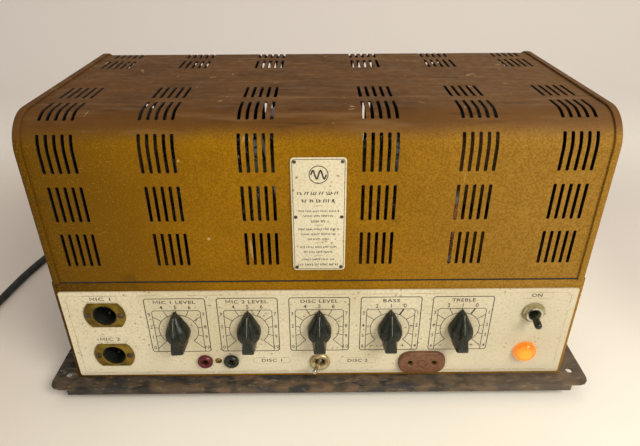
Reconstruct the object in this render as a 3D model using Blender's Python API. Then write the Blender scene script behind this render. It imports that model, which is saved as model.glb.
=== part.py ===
"""Valve amplifier with three mixing inputs, built as separate sub-parts.

Metres, +Z up, front towards -Y, +X to the right of someone facing the front.
The origin is on the table, under the middle of the amplifier without its lead.
"""

from math import asin, cos, pi, radians, sin

import bmesh
import bpy
from mathutils import Matrix, Vector

# Driving dimensions -------------------------------------------------------
GAP = 0.0003                     # clearance left between touching pieces
FRONT = -0.102                   # front plane of the chassis and the cover
REAR = 0.102                     # rear plane of the chassis
FRONT_REACH = 0.0178             # how far the knobs stand in front of FRONT

CHASSIS_HALF_WIDTH = 0.19625
CHASSIS_BOTTOM = 0.0145
CHASSIS_TOP = 0.108
SHEET = 0.0015                   # chassis and base sheet thickness

COVER_HALF_WIDTH = 0.194
COVER_TOP = 0.2313
COVER_DEPTH = 0.201
COVER_CORNER = 0.023             # outer bend radius of the cover's long edges
COVER_SHEET = 0.0012
END_FLANGE = 0.0048              # how far the end caps lap over the wrap

SLOT_WIDTH = 0.0023
SLOT_PITCH = 0.00532
SLOT_LENGTH = 0.0266
SLOTS_PER_GROUP = 5
SLOT_COLUMNS = (0.0403, 0.1038, 0.168)
ROW_START = 0.0140               # lowest row's lower end above the cover's edge
ROW_PITCH = 0.0361
ROWS_BEFORE_MIDDLE = 5           # front and front half of the top, then mirrored

PANEL_HALF_WIDTH = 0.1926
PANEL_BOTTOM = 0.0178
PANEL_TOP = 0.1002
PANEL_FACE = 0.0015              # panel's front face ahead of FRONT

BASE_HALF_WIDTH = 0.2160
BASE_TOP = 0.0142
BASE_OVERHANG = 0.0127           # plate beyond the chassis, front and rear
BASE_LIP_HALF_WIDTH = 0.2015
BASE_LIP_BOTTOM = 0.0075
BASE_CORNER = 0.008
BASE_HOLE_RADIUS = 0.0026
BASE_HOLE_X = 0.205
BASE_HOLE_INSET = 0.003          # holes this far inside the front and rear planes

FOOT_RADIUS = 0.012
FOOT_PLACES = {"front_left": (-0.178, -0.085), "front_right": (0.178, -0.085),
               "rear_left": (-0.178, 0.085), "rear_right": (0.178, 0.085)}

DIAL_PITCH = 0.054
DIAL_HEIGHT = 0.0636
DIALS = ("mic_1", "mic_2", "phono", "bass", "treble")
REST_TURN = {"mic_1": radians(-3)}    # knobs not exactly upright at rest

KNOB_RADIUS = 0.0093
KNOB_TIP = 0.0186
KNOB_TAIL = 0.0115
KNOB_BACK = 0.0022               # knob's back ahead of FRONT
SHAFT_RADIUS = 0.0030
BORE_RADIUS = 0.0033
POT_RADIUS = 0.012
BUSHING_RADIUS = 0.0047

LEFT_COLUMN = -0.1615            # microphone sockets
RIGHT_COLUMN = 0.1620            # power switch and pilot lamp
MIC_HEIGHTS = (0.0793, 0.0398)
MIC_BORE = 0.0089
POWER_HEIGHT = 0.0787
POWER_TILT = radians(13)
LAMP_HEIGHT = 0.0405
LAMP_RADIUS = 0.00885
PHONO_PLACES = {"red": (-0.0907, 0.0325), "black": (-0.0701, 0.0323)}
SELECTOR_PLACE = (0.0003, 0.0308)
SELECTOR_TILT = radians(18)
OUTLET_PLACE = (0.0814, 0.0301)
OUTLET_PIN_PITCH = 0.019

VOLTAGE_PLACE = (-0.085, 0.060)
VOLTAGE_RADIUS = 0.0140          # selector's body behind its flange
FUSE_PLACE = (-0.030, 0.060)
FUSE_RADIUS = 0.0066
TERMINALS_PLACE = (0.100, 0.055)
TERMINALS_HALF_BACK = (0.050, 0.005)

CORD_RADIUS = 0.0036
GLAND_PLACE = (-0.150, 0.046)
GLAND_REACH = 0.0240
COIL_CENTRE = Vector((-0.3716, -0.046, 0.0))
COIL_RADIUS = 0.040              # middle column of the turns
COIL_COLUMNS = 3
COIL_LAYERS = 2
COIL_OUTER_TURN = COIL_RADIUS + (COIL_COLUMNS - 1) * CORD_RADIUS
TAIL_LENGTH = 0.040
PLUG_RADIUS = 0.0178
PLUG_HEIGHT = 0.0180             # plug's axis above the table

ROUND = 14                       # sides of a round piece
FINE = 18                        # sides of a large round piece

TOWARDS_FRONT = Matrix.Rotation(radians(90), 4, "X")
TOWARDS_REAR = Matrix.Rotation(radians(-90), 4, "X")


# Materials ----------------------------------------------------------------
MATERIALS = {
    "gold_enamel": ((0.36, 0.25, 0.05), 0.38, 0.75),
    "panel": ((0.72, 0.66, 0.48), 0.45, 0.2),
    "dark_steel": ((0.06, 0.045, 0.04), 0.6, 0.5),
    "rubber": ((0.03, 0.03, 0.03), 0.85, 0.0),
    "bakelite": ((0.02, 0.025, 0.02), 0.3, 0.0),
    "brown_bakelite": ((0.22, 0.09, 0.04), 0.4, 0.0),
    "brass": ((0.55, 0.42, 0.15), 0.35, 1.0),
    "steel": ((0.5, 0.5, 0.5), 0.35, 1.0),
    "ivory": ((0.7, 0.62, 0.42), 0.4, 0.0),
    "amber": ((0.9, 0.35, 0.03), 0.15, 0.0),
    "glass": ((0.7, 0.75, 0.75), 0.05, 0.0),
    "iron": ((0.07, 0.07, 0.075), 0.6, 0.4),
    "aluminium": ((0.6, 0.6, 0.62), 0.4, 1.0),
    "red_plastic": ((0.45, 0.03, 0.02), 0.4, 0.0),
}


def material(name):
    """Return the named material, made once."""
    if name in bpy.data.materials:
        return bpy.data.materials[name]
    colour, roughness, metallic = MATERIALS[name]
    made = bpy.data.materials.new(name)
    made.use_nodes = True
    shader = made.node_tree.nodes["Principled BSDF"]
    shader.inputs["Base Color"].default_value = (*colour, 1.0)
    shader.inputs["Roughness"].default_value = roughness
    shader.inputs["Metallic"].default_value = metallic
    return made


# Helpers ------------------------------------------------------------------
def clear_scene():
    for thing in list(bpy.data.objects):
        bpy.data.objects.remove(thing, do_unlink=True)


def finish_mesh(name, bm, finish, place=None, smooth=True):
    """Turn a bmesh into a named object with outward normals."""
    bmesh.ops.recalc_face_normals(bm, faces=bm.faces)
    mesh = bpy.data.meshes.new(name)
    bm.to_mesh(mesh)
    bm.free()
    mesh.materials.append(material(finish))
    if smooth:
        mesh.shade_smooth()
        mesh.set_sharp_from_angle(angle=radians(35))
    thing = bpy.data.objects.new(name, mesh)
    bpy.context.scene.collection.objects.link(thing)
    if place is not None:
        thing.matrix_world = place
    return thing


def add_box(bm, low, high):
    """Add an axis-aligned box to a bmesh."""
    low, high = Vector(low), Vector(high)
    middle = Matrix.Translation((low + high) / 2)
    scale = Matrix.Diagonal((*(high - low), 1.0))
    bmesh.ops.create_cube(bm, size=1.0, matrix=middle @ scale)


def box(name, low, high, finish, bevel=0.0):
    bm = bmesh.new()
    add_box(bm, low, high)
    if bevel:
        bmesh.ops.bevel(bm, geom=bm.edges, offset=bevel, segments=1, affect="EDGES")
    return finish_mesh(name, bm, finish, smooth=False)


def add_turned(bm, profile, steps, place=Matrix.Identity(4), ring=False):
    """Add a body turned about local Z from (radius, height) pairs."""
    single = bmesh.new()
    verts = [single.verts.new((radius, 0.0, height)) for radius, height in profile]
    edges = [single.edges.new(pair) for pair in zip(verts, verts[1:])]
    if ring:
        edges.append(single.edges.new((verts[-1], verts[0])))
    bmesh.ops.spin(single, geom=verts + edges, cent=(0, 0, 0), axis=(0, 0, 1),
                   angle=2 * pi, steps=steps)
    bmesh.ops.remove_doubles(single, verts=single.verts, dist=1e-6)
    bmesh.ops.transform(single, matrix=place, verts=single.verts)
    mesh = bpy.data.meshes.new("turned_body")
    single.to_mesh(mesh)
    single.free()
    bm.from_mesh(mesh)
    bpy.data.meshes.remove(mesh)


def turned(name, profile, finish, place, steps=ROUND, ring=False):
    bm = bmesh.new()
    add_turned(bm, profile, steps, ring=ring)
    return finish_mesh(name, bm, finish, place)


def rod(radius, low, high):
    """Profile of a plain round rod between two heights."""
    return [(0.0, low), (radius, low), (radius, high), (0.0, high)]


def add_prism(bm, outline, low, high, place=Matrix.Identity(4)):
    """Add a straight prism: outline in local XY, from low to high along Z."""
    bottom = [bm.verts.new((x, y, low)) for x, y in outline]
    top = [bm.verts.new((x, y, high)) for x, y in outline]
    bm.faces.new(bottom)
    bm.faces.new(top)
    for index in range(len(outline)):
        following = (index + 1) % len(outline)
        bm.faces.new((bottom[index], bottom[following], top[following], top[index]))
    bmesh.ops.transform(bm, matrix=place, verts=bottom + top)


def prism(name, outline, low, high, finish, place=Matrix.Identity(4)):
    bm = bmesh.new()
    add_prism(bm, outline, low, high)
    return finish_mesh(name, bm, finish, place)


def arc(centre, radius, start, end, steps):
    """Points on an arc, both ends included, angles in radians."""
    points = []
    for step in range(steps + 1):
        angle = start + (end - start) * step / steps
        points.append((centre[0] + radius * cos(angle), centre[1] + radius * sin(angle)))
    return points


def rounded_rectangle(half_width, half_height, radius, steps=3):
    outline = []
    for quarter, (side_x, side_y) in enumerate(((1, 1), (-1, 1), (-1, -1), (1, -1))):
        centre = (side_x * (half_width - radius), side_y * (half_height - radius))
        outline += arc(centre, radius, quarter * pi / 2, (quarter + 1) * pi / 2, steps)
    return outline


def cutter(name, build):
    """Make a hidden cutting body from a function that fills a bmesh."""
    bm = bmesh.new()
    build(bm)
    tool = finish_mesh(name, bm, "steel", smooth=False)
    tool.hide_render = True
    tool.display_type = "WIRE"
    return tool


def combine(thing, tool, operation):
    """Add an exact Boolean with another object."""
    step = thing.modifiers.new(operation.title(), "BOOLEAN")
    step.operation = operation
    step.solver = "EXACT"
    step.object = tool


def at_front(x, z, y=FRONT):
    """Place local Z pointing out of the front, local X to the right."""
    return Matrix.Translation((x, y, z)) @ TOWARDS_FRONT


def at_rear(x, z):
    """Place local Z pointing out of the rear wall."""
    return Matrix.Translation((x, REAR, z)) @ TOWARDS_REAR


# Base and feet ------------------------------------------------------------
def base_plate():
    """Folded bottom plate with side ears and turned-down front and rear lips."""
    half_depth = (REAR - FRONT) / 2 + BASE_OVERHANG
    outline = rounded_rectangle(BASE_HALF_WIDTH, half_depth, BASE_CORNER)
    plate = prism("base_plate", outline, BASE_TOP - SHEET, BASE_TOP, "dark_steel")
    for side, y in (("front", -half_depth), ("rear", half_depth)):
        inner = y - SHEET if y > 0 else y + SHEET
        lip = cutter(f"lip_{side}", lambda bm, y=y, inner=inner: add_box(
            bm, (-BASE_LIP_HALF_WIDTH, min(y, inner), BASE_LIP_BOTTOM),
            (BASE_LIP_HALF_WIDTH, max(y, inner), BASE_TOP - SHEET / 2)))
        combine(plate, lip, "UNION")

    def holes(bm):
        for x in (-BASE_HOLE_X, BASE_HOLE_X):
            for y in (FRONT + BASE_HOLE_INSET, REAR - BASE_HOLE_INSET):
                add_turned(bm, rod(BASE_HOLE_RADIUS, 0.0, 0.03), 12, Matrix.Translation((x, y, 0.0)))
    combine(plate, cutter("base_holes", holes), "DIFFERENCE")


def feet():
    top = BASE_TOP - SHEET - GAP
    profile = [(0.0, 0.0), (FOOT_RADIUS - 0.0012, 0.0), (FOOT_RADIUS, 0.0012),
               (FOOT_RADIUS - 0.0015, top), (0.0, top)]
    for corner, (x, y) in FOOT_PLACES.items():
        turned(f"foot_{corner}", profile, "rubber", Matrix.Translation((x, y, 0.0)), 16)


# Chassis and panel --------------------------------------------------------
def front_holes(bm):
    """Round holes through the panel and the chassis front wall."""
    places = [(dial_x(index), DIAL_HEIGHT, BUSHING_RADIUS) for index in range(len(DIALS))]
    places += [(LEFT_COLUMN, height, 0.0100) for height in MIC_HEIGHTS]
    places += [(x, z, 0.0040) for x, z in PHONO_PLACES.values()]
    places += [(*SELECTOR_PLACE, 0.0060), (RIGHT_COLUMN, POWER_HEIGHT, 0.0065)]
    places += [(RIGHT_COLUMN, LAMP_HEIGHT, 0.0060)]
    for x, z, radius in places:
        add_turned(bm, rod(radius + GAP, -0.006, 0.006), ROUND, at_front(x, z))
    x, z = OUTLET_PLACE
    add_box(bm, (x - 0.0143, FRONT - 0.006, z - 0.0073), (x + 0.0143, FRONT + 0.006, z + 0.0073))


def rear_holes(bm):
    """Round holes through the rear wall."""
    places = ((GLAND_PLACE, 0.0075), (VOLTAGE_PLACE, VOLTAGE_RADIUS + GAP), (FUSE_PLACE, FUSE_RADIUS + GAP))
    for place, radius in places:
        add_turned(bm, rod(radius + GAP, -0.006, 0.006), ROUND, at_rear(*place))
    x, z = TERMINALS_PLACE
    half_width, half_height = TERMINALS_HALF_BACK
    add_box(bm, (x - half_width - GAP, REAR - 0.006, z - half_height - GAP),
            (x + half_width + GAP, REAR + 0.006, z + half_height + GAP))


def deck_holes(bm):
    """Holes in the deck for the three power tube sockets."""
    for x, y in (*OUTPUT_TUBES, RECTIFIER_TUBE):
        place = Matrix.Translation((x, y, CHASSIS_TOP))
        add_turned(bm, rod(0.0140 + GAP, -0.006, 0.006), ROUND, place)


def chassis():
    """Folded steel box, open below, with its corners rounded over."""
    bm = bmesh.new()
    add_box(bm, (-CHASSIS_HALF_WIDTH, FRONT, CHASSIS_BOTTOM), (CHASSIS_HALF_WIDTH, REAR, CHASSIS_TOP))
    upper = [edge for edge in bm.edges if max(vert.co.z for vert in edge.verts) > CHASSIS_TOP - GAP]
    bmesh.ops.bevel(bm, geom=upper, offset=0.0018, segments=2, profile=0.5, affect="EDGES")
    shell = finish_mesh("chassis", bm, "gold_enamel")

    def hollow(bm):
        add_box(bm, (-CHASSIS_HALF_WIDTH + SHEET, FRONT + SHEET, CHASSIS_BOTTOM - 0.01),
                (CHASSIS_HALF_WIDTH - SHEET, REAR - SHEET, CHASSIS_TOP - SHEET))
    combine(shell, cutter("chassis_hollow", hollow), "DIFFERENCE")
    combine(shell, bpy.data.objects["front_holes"], "DIFFERENCE")
    combine(shell, cutter("rear_holes", rear_holes), "DIFFERENCE")
    combine(shell, cutter("deck_holes", deck_holes), "DIFFERENCE")


def front_panel():
    middle = (PANEL_BOTTOM + PANEL_TOP) / 2
    outline = rounded_rectangle(PANEL_HALF_WIDTH, (PANEL_TOP - PANEL_BOTTOM) / 2, 0.001, 1)
    plate = prism("front_panel", outline, GAP, PANEL_FACE, "panel", at_front(0.0, middle))
    combine(plate, bpy.data.objects["front_holes"], "DIFFERENCE")


# Ventilated cover ---------------------------------------------------------
COVER_BOTTOM = CHASSIS_TOP + GAP
COVER_FRONT = FRONT
COVER_REAR = COVER_FRONT + COVER_DEPTH
UPRIGHT = COVER_TOP - COVER_CORNER - COVER_BOTTOM
BEND = pi / 2 * COVER_CORNER
FLAT_TOP = COVER_DEPTH - 2 * COVER_CORNER
COVER_LENGTH = 2 * UPRIGHT + 2 * BEND + FLAT_TOP


def cover_point(along, offset):
    """Map a place along the unrolled cover sheet to (y, z), offset outwards."""
    if along > COVER_LENGTH / 2:
        y, z = cover_point(COVER_LENGTH - along, offset)
        return COVER_FRONT + COVER_REAR - y, z
    if along <= UPRIGHT:
        return COVER_FRONT - offset, COVER_BOTTOM + along
    if along <= UPRIGHT + BEND:
        angle = (along - UPRIGHT) / COVER_CORNER
        reach = COVER_CORNER + offset
        return (COVER_FRONT + COVER_CORNER - reach * cos(angle),
                COVER_BOTTOM + UPRIGHT + reach * sin(angle))
    return COVER_FRONT + COVER_CORNER + along - UPRIGHT - BEND, COVER_TOP + offset


def slot_rows():
    """Start of each row of slots along the unrolled sheet, front to rear."""
    front_half = [ROW_START + row * ROW_PITCH for row in range(ROWS_BEFORE_MIDDLE)]
    rear_half = [COVER_LENGTH - start - SLOT_LENGTH for start in reversed(front_half)]
    return front_half + rear_half


def slot_edges():
    """Left and right edges of every column of slots."""
    edges = []
    for centre in sorted([-x for x in SLOT_COLUMNS] + list(SLOT_COLUMNS)):
        for slot in range(SLOTS_PER_GROUP):
            middle = centre + (slot - (SLOTS_PER_GROUP - 1) / 2) * SLOT_PITCH
            edges.append((middle - SLOT_WIDTH / 2, middle + SLOT_WIDTH / 2))
    return edges


def cover_wrap():
    """One sheet, slotted flat and bent over the front, top and rear."""
    half_width = COVER_HALF_WIDTH - COVER_SHEET - GAP
    columns = slot_edges()
    rows = [(start, start + SLOT_LENGTH) for start in slot_rows()]
    bends = []
    for start in (UPRIGHT, COVER_LENGTH - UPRIGHT - BEND):
        bends += [start + BEND * step / 5 for step in range(6)]
    xs = sorted([-half_width, half_width] + [edge for pair in columns for edge in pair])
    lengths = sorted([0.0, COVER_LENGTH] + [end for pair in rows for end in pair] + bends)

    def open_cell(i, j):
        x = (xs[i] + xs[i + 1]) / 2
        along = (lengths[j] + lengths[j + 1]) / 2
        in_column = any(low < x < high for low, high in columns)
        return in_column and any(low < along < high for low, high in rows)

    def solid_cell(i, j):
        inside = 0 <= i < len(xs) - 1 and 0 <= j < len(lengths) - 1
        return inside and not open_cell(i, j)

    bm = bmesh.new()
    layers = []
    for offset in (0.0, -COVER_SHEET):
        layers.append([[bm.verts.new((x, *cover_point(along, offset))) for along in lengths] for x in xs])
    outer, inner = layers
    for i in range(len(xs) - 1):
        for j in range(len(lengths) - 1):
            if not solid_cell(i, j):
                continue
            corners = ((i, j), (i + 1, j), (i + 1, j + 1), (i, j + 1))
            bm.faces.new([outer[a][b] for a, b in corners])
            bm.faces.new([inner[a][b] for a, b in reversed(corners)])
            neighbours = ((i, j - 1), (i + 1, j), (i, j + 1), (i - 1, j))
            for side, neighbour in enumerate(neighbours):
                if not solid_cell(*neighbour):
                    (a, b), (c, d) = corners[side], corners[(side + 1) % 4]
                    bm.faces.new((outer[c][d], outer[a][b], inner[a][b], inner[c][d]))
    loose = [vert for vert in bm.verts if not vert.link_faces]
    bmesh.ops.delete(bm, geom=loose, context="VERTS")
    finish_mesh("cover_wrap", bm, "gold_enamel")


def cover_end(name, side):
    """End cap: a flat side with a flange that laps over the wrap's edge."""
    bends = [UPRIGHT + BEND * step / 5 for step in range(6)]
    places = [0.0, *bends, *(COVER_LENGTH - along for along in reversed(bends)), COVER_LENGTH]
    outside = side * COVER_HALF_WIDTH
    inside = side * (COVER_HALF_WIDTH - COVER_SHEET)
    edge = side * (COVER_HALF_WIDTH - END_FLANGE)
    bm = bmesh.new()

    def ring(x, offset):
        return [bm.verts.new((x, *cover_point(along, offset))) for along in places]

    outer_face, outer_edge = ring(outside, GAP + COVER_SHEET), ring(edge, GAP + COVER_SHEET)
    inner_edge, inner_face = ring(edge, GAP), ring(inside, GAP)
    rings = (outer_face, outer_edge, inner_edge, inner_face)
    for first, second in zip(rings, rings[1:]):
        for index in range(len(places) - 1):
            bm.faces.new((first[index], first[index + 1], second[index + 1], second[index]))
    bm.faces.new(outer_face)
    bm.faces.new(inner_face)
    bm.faces.new([line[0] for line in rings] + [line[-1] for line in reversed(rings)])
    finish_mesh(name, bm, "gold_enamel")


def nameplate():
    outline = rounded_rectangle(0.0185, 0.0435, 0.0025, 2)
    prism("nameplate", outline, GAP, 0.0011, "panel", at_front(0.0, 0.1618))


# Controls -----------------------------------------------------------------
def dial_x(index):
    return (index - (len(DIALS) - 1) / 2) * DIAL_PITCH


def knob_pointer(bm):
    """Pointer fin seen from the front: narrow tip up, square tail down."""
    right_side = [(0.0022, KNOB_TIP), (0.0030, 0.009), (0.0036, -0.001), (0.0045, -KNOB_TAIL)]
    outline = right_side + [(-x, y) for x, y in reversed(right_side)]
    add_prism(bm, outline, KNOB_BACK, FRONT_REACH)
    for vert in bm.verts:
        if vert.co.z > KNOB_BACK and vert.co.y > 0:
            vert.co.z -= 0.0095 * (vert.co.y / KNOB_TIP) ** 1.5


def knob(name, x, turn):
    """Chicken-head knob: a round skirt with a tall pointer fin across it."""
    place = at_front(x, DIAL_HEIGHT) @ Matrix.Rotation(-turn, 4, "Z")
    skirt = [(0.0, KNOB_BACK), (KNOB_RADIUS, KNOB_BACK), (KNOB_RADIUS - 0.0006, 0.0085),
             (KNOB_RADIUS - 0.0026, 0.0120), (0.0, 0.0135)]
    body = turned(name, skirt, "bakelite", place)
    fin = cutter(f"{name}_fin", knob_pointer)
    fin.matrix_world = place
    bore = cutter(f"{name}_bore", lambda bm: add_turned(bm, rod(BORE_RADIUS, -0.001, 0.0113), 12))
    bore.matrix_world = place
    combine(body, fin, "UNION")
    combine(body, bore, "DIFFERENCE")


def controls():
    """Five potentiometers, each with its shaft and knob."""
    pot = [(0.0, -0.0140), (POT_RADIUS, -0.0140), (POT_RADIUS, -SHEET - GAP),
           (BUSHING_RADIUS, -SHEET - GAP), (BUSHING_RADIUS, 0.0014),
           (BORE_RADIUS, 0.0014), (BORE_RADIUS, -0.0110), (0.0, -0.0110)]
    shaft = rod(SHAFT_RADIUS, -0.0107, 0.0110)
    for index, dial in enumerate(DIALS):
        place = at_front(dial_x(index), DIAL_HEIGHT)
        turned(f"potentiometer_{dial}", pot, "aluminium", place, 16)
        turned(f"shaft_{dial}", shaft, "aluminium", place, 12)
        knob(f"knob_{dial}", dial_x(index), REST_TURN.get(dial, 0.0))


def selector():
    """Small metal lever switch that chooses one of the two phono sources."""
    place = at_front(*SELECTOR_PLACE)
    bush = [(0.0, -0.0100), (0.0095, -0.0100), (0.0095, -SHEET - GAP), (0.0058, -SHEET - GAP),
            (0.0058, PANEL_FACE + GAP), (0.0080, PANEL_FACE + GAP), (0.0080, 0.0034),
            (0.0066, 0.0042), (0.0046, 0.0042), (0.0034, 0.0020), (0.0034, -0.0040), (0.0, -0.0040)]
    turned("selector_switch", bush, "brass", place)
    lever = [(0.0, -0.0026), (0.0018, -0.0024), (0.0026, -0.0005), (0.0017, 0.0022), (0.0013, 0.0040),
             (0.0014, 0.0105), (0.0021, 0.0125), (0.0020, 0.0140), (0.0011, 0.0150), (0.0, 0.0153)]
    tilt = Matrix.Rotation(-SELECTOR_TILT, 4, "Y")
    turned("selector_lever", lever, "steel", place @ tilt, 14)


def power_switch():
    """Ivory-collared switch with a black bat lever, resting downwards."""
    place = at_front(RIGHT_COLUMN, POWER_HEIGHT)
    bush = [(0.0, -0.0200), (0.0120, -0.0200), (0.0120, -SHEET - GAP), (0.0062, -SHEET - GAP),
            (0.0062, PANEL_FACE + GAP), (0.0086, PANEL_FACE + GAP), (0.0084, 0.0030),
            (0.0064, 0.0050), (0.0052, 0.0052), (0.0040, 0.0020), (0.0040, -0.0045), (0.0, -0.0045)]
    turned("power_switch", bush, "ivory", place)
    lever = [(0.0, -0.0030), (0.0022, -0.0026), (0.0032, -0.0004), (0.0023, 0.0022), (0.0023, 0.0050),
             (0.0027, 0.0125), (0.0026, 0.0152), (0.0014, 0.0164), (0.0, 0.0166)]
    tilt = Matrix.Rotation(POWER_TILT, 4, "X")
    turned("power_lever", lever, "bakelite", place @ tilt, 14)


# Sockets and lamp on the front --------------------------------------------
def mic_socket(name, x, z):
    """Brass flange cut from a disc, with a deep round socket behind it."""
    flange_radius, half_height = 0.0156, 0.0110
    corner = asin(half_height / flange_radius)
    right = arc((0, 0), flange_radius, -corner, corner, 6)
    outline = right + [(-x, y) for x, y in reversed(right)]
    low = PANEL_FACE + GAP
    plate = prism(name, outline, low, low + 0.0010, "brass", at_front(x, z))

    def barrel(bm):
        profile = rod(0.0100, -0.0150, low + 0.0005)
        add_turned(bm, profile, ROUND, at_front(x, z))

    def bore(bm):
        add_turned(bm, rod(MIC_BORE, -0.0135, 0.010), ROUND, at_front(x, z))

    combine(plate, cutter(f"{name}_barrel", barrel), "UNION")
    combine(plate, cutter(f"{name}_cut", bore), "DIFFERENCE")


def phono_socket(name, x, z, finish):
    profile = [(0.0, -0.0150), (0.0037, -0.0150), (0.0037, PANEL_FACE + GAP), (0.0060, PANEL_FACE + GAP),
               (0.0060, 0.0042), (0.0048, 0.0050), (0.0021, 0.0050), (0.0021, -0.0120), (0.0, -0.0120)]
    turned(name, profile, finish, at_front(x, z), 18)


def two_pin_socket():
    """Brown outlet with two round contacts, standing a little off the panel."""
    x, z = OUTLET_PLACE
    low = PANEL_FACE + GAP
    outline = rounded_rectangle(0.0187, 0.0107, 0.0095, 4)
    body = prism("two_pin_socket", outline, low, 0.0050, "brown_bakelite", at_front(x, z))

    def back(bm):
        add_box(bm, (x - 0.0140, FRONT - low - 0.0005, z - 0.0070), (x + 0.0140, FRONT + 0.0140, z + 0.0070))

    def contacts(bm):
        for side in (-1, 1):
            place = at_front(x + side * OUTLET_PIN_PITCH / 2, z + 0.0004)
            add_turned(bm, rod(0.0021, -0.0120, 0.010), 12, place)

    combine(body, cutter("outlet_back", back), "UNION")
    combine(body, cutter("outlet_contacts", contacts), "DIFFERENCE")


def pilot_lamp():
    """Domed amber jewel, the cup behind it and the small bulb in the cup."""
    place = at_front(RIGHT_COLUMN, LAMP_HEIGHT)
    low = PANEL_FACE + GAP
    dome = [(0.0, -0.0030), (0.0058, -0.0030), (0.0058, low), (LAMP_RADIUS, low)]
    for step in range(1, 6):
        angle = step * pi / 10
        dome.append((LAMP_RADIUS * cos(angle), low + 0.0010 + 0.0060 * sin(angle)))
    dome[-1] = (0.0, dome[-1][1])
    turned("pilot_jewel", dome, "amber", place)
    holder = [(0.0, -0.0260), (0.0082, -0.0260), (0.0082, -SHEET - GAP), (0.0066, -SHEET - GAP),
              (0.0066, -0.0240), (0.0, -0.0240)]
    turned("pilot_holder", holder, "brass", place, 16)
    bulb = [(0.0, -0.0237), (0.0042, -0.0237), (0.0042, -0.0140), (0.0048, -0.0110),
            (0.0045, -0.0070), (0.0026, -0.0048), (0.0, -0.0042)]
    turned("pilot_bulb", bulb, "glass", place, 14)


# On the deck --------------------------------------------------------------
DECK = CHASSIS_TOP + GAP
OUTPUT_TUBES = ((-0.100, -0.052), (-0.046, -0.052))
RECTIFIER_TUBE = (0.062, -0.040)
PREAMP_TUBES = ((-0.006, -0.060), (0.020, -0.028), (-0.006, 0.002))
CAPACITOR_PLACE = (-0.030, 0.046)
TRANSFORMERS = {                 # x, y, (width, core depth, height), winding depth
    "mains_transformer": (0.133, 0.030, (0.092, 0.048, 0.092), 0.084),
    "output_transformer": (-0.128, 0.040, (0.084, 0.040, 0.080), 0.072),
    "choke": (0.056, 0.052, (0.050, 0.024, 0.046), 0.044)}


def on_deck(x, y):
    return Matrix.Translation((x, y, DECK))


def octal_tube(name, x, y, glass_radius, height):
    """Glass tube on its base, in a moulded socket that drops through the deck."""
    socket = [(0.0, -0.0120), (0.0137, -0.0120), (0.0137, 0.0),
              (0.0190, 0.0), (0.0190, 0.0030), (0.0, 0.0030)]
    turned(name.replace("tube", "socket"), socket, "bakelite", on_deck(x, y))
    foot = 0.0033
    glass = [(0.0, foot), (0.0165, foot), (0.0165, 0.0260), (glass_radius, 0.0300)]
    for step in range(5):
        angle = step * pi / 8
        glass.append((glass_radius * cos(angle), height - glass_radius * (1 - sin(angle))))
    glass[-1] = (0.0, height)
    turned(name, glass, "glass", on_deck(x, y), FINE)


def tubes():
    for number, (x, y) in enumerate(OUTPUT_TUBES, 1):
        octal_tube(f"output_tube_{number}", x, y, 0.0160, 0.098)
    octal_tube("rectifier_tube", *RECTIFIER_TUBE, 0.0180, 0.094)
    can = [(0.0, 0.0), (0.0125, 0.0), (0.0125, 0.0060), (0.0112, 0.0070), (0.0112, 0.0480),
           (0.0080, 0.0520), (0.0, 0.0530)]
    for number, (x, y) in enumerate(PREAMP_TUBES, 1):
        turned(f"preamp_tube_{number}", can, "aluminium", on_deck(x, y))


def filter_capacitor():
    """Two-section electrolytic can of the power supply."""
    can = [(0.0, 0.0), (0.0175, 0.0), (0.0175, 0.0780), (0.0160, 0.0800), (0.0, 0.0800)]
    turned("filter_capacitor", can, "aluminium", on_deck(*CAPACITOR_PLACE))


def transformer(name, x, y, size, winding):
    """Stack of core plates with the winding showing on two sides."""
    wide, deep, tall = size
    core = box(name, (x - wide / 2, y - deep / 2, DECK), (x + wide / 2, y + deep / 2, DECK + tall),
               "iron", 0.0012)

    def coil(bm):
        inset = 0.18 * wide
        add_box(bm, (x - wide / 2 + inset, y - winding / 2, DECK + 0.16 * tall),
                (x + wide / 2 - inset, y + winding / 2, DECK + 0.84 * tall))
    combine(core, cutter(f"{name}_coil", coil), "UNION")


# Rear wall ----------------------------------------------------------------
def rear_fittings():
    x, z = GLAND_PLACE
    gland = [(0.0, -0.0080), (0.0090, -0.0080), (0.0090, -SHEET - GAP), (0.0072, -SHEET - GAP),
             (0.0072, GAP), (0.0105, GAP), (0.0105, 0.0030), (0.0075, 0.0050),
             (0.0052, GLAND_REACH - 0.001), (0.0046, GLAND_REACH), (0.0, GLAND_REACH)]
    turned("cord_gland", gland, "rubber", at_rear(x, z))

    housing = [(0.0, -0.0130), (VOLTAGE_RADIUS, -0.0130), (VOLTAGE_RADIUS, GAP), (0.0190, GAP),
               (0.0190, 0.0030), (0.0180, 0.0036), (0.0126, 0.0036), (0.0126, -0.0106), (0.0, -0.0106)]
    place = at_rear(*VOLTAGE_PLACE)
    turned("voltage_selector", housing, "bakelite", place, FINE)
    drum = turned("voltage_selector_drum",
                  [(0.0, -0.0103), (0.0122, -0.0103), (0.0122, 0.0060), (0.0110, 0.0072), (0.0, 0.0072)],
                  "brown_bakelite", place, FINE)
    slot = cutter("coin_slot", lambda bm: add_box(bm, (-0.0100, -0.0012, 0.0042), (0.0100, 0.0012, 0.010)))
    slot.matrix_world = place
    combine(drum, slot, "DIFFERENCE")

    fuse = [(0.0, -0.0300), (FUSE_RADIUS, -0.0300), (FUSE_RADIUS, GAP), (0.0095, GAP), (0.0095, 0.0040),
            (0.0072, 0.0048), (0.0072, FRONT_REACH - 0.0012), (0.0060, FRONT_REACH), (0.0, FRONT_REACH)]
    turned("fuse_holder", fuse, "bakelite", at_rear(*FUSE_PLACE))
    output_terminals()


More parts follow.
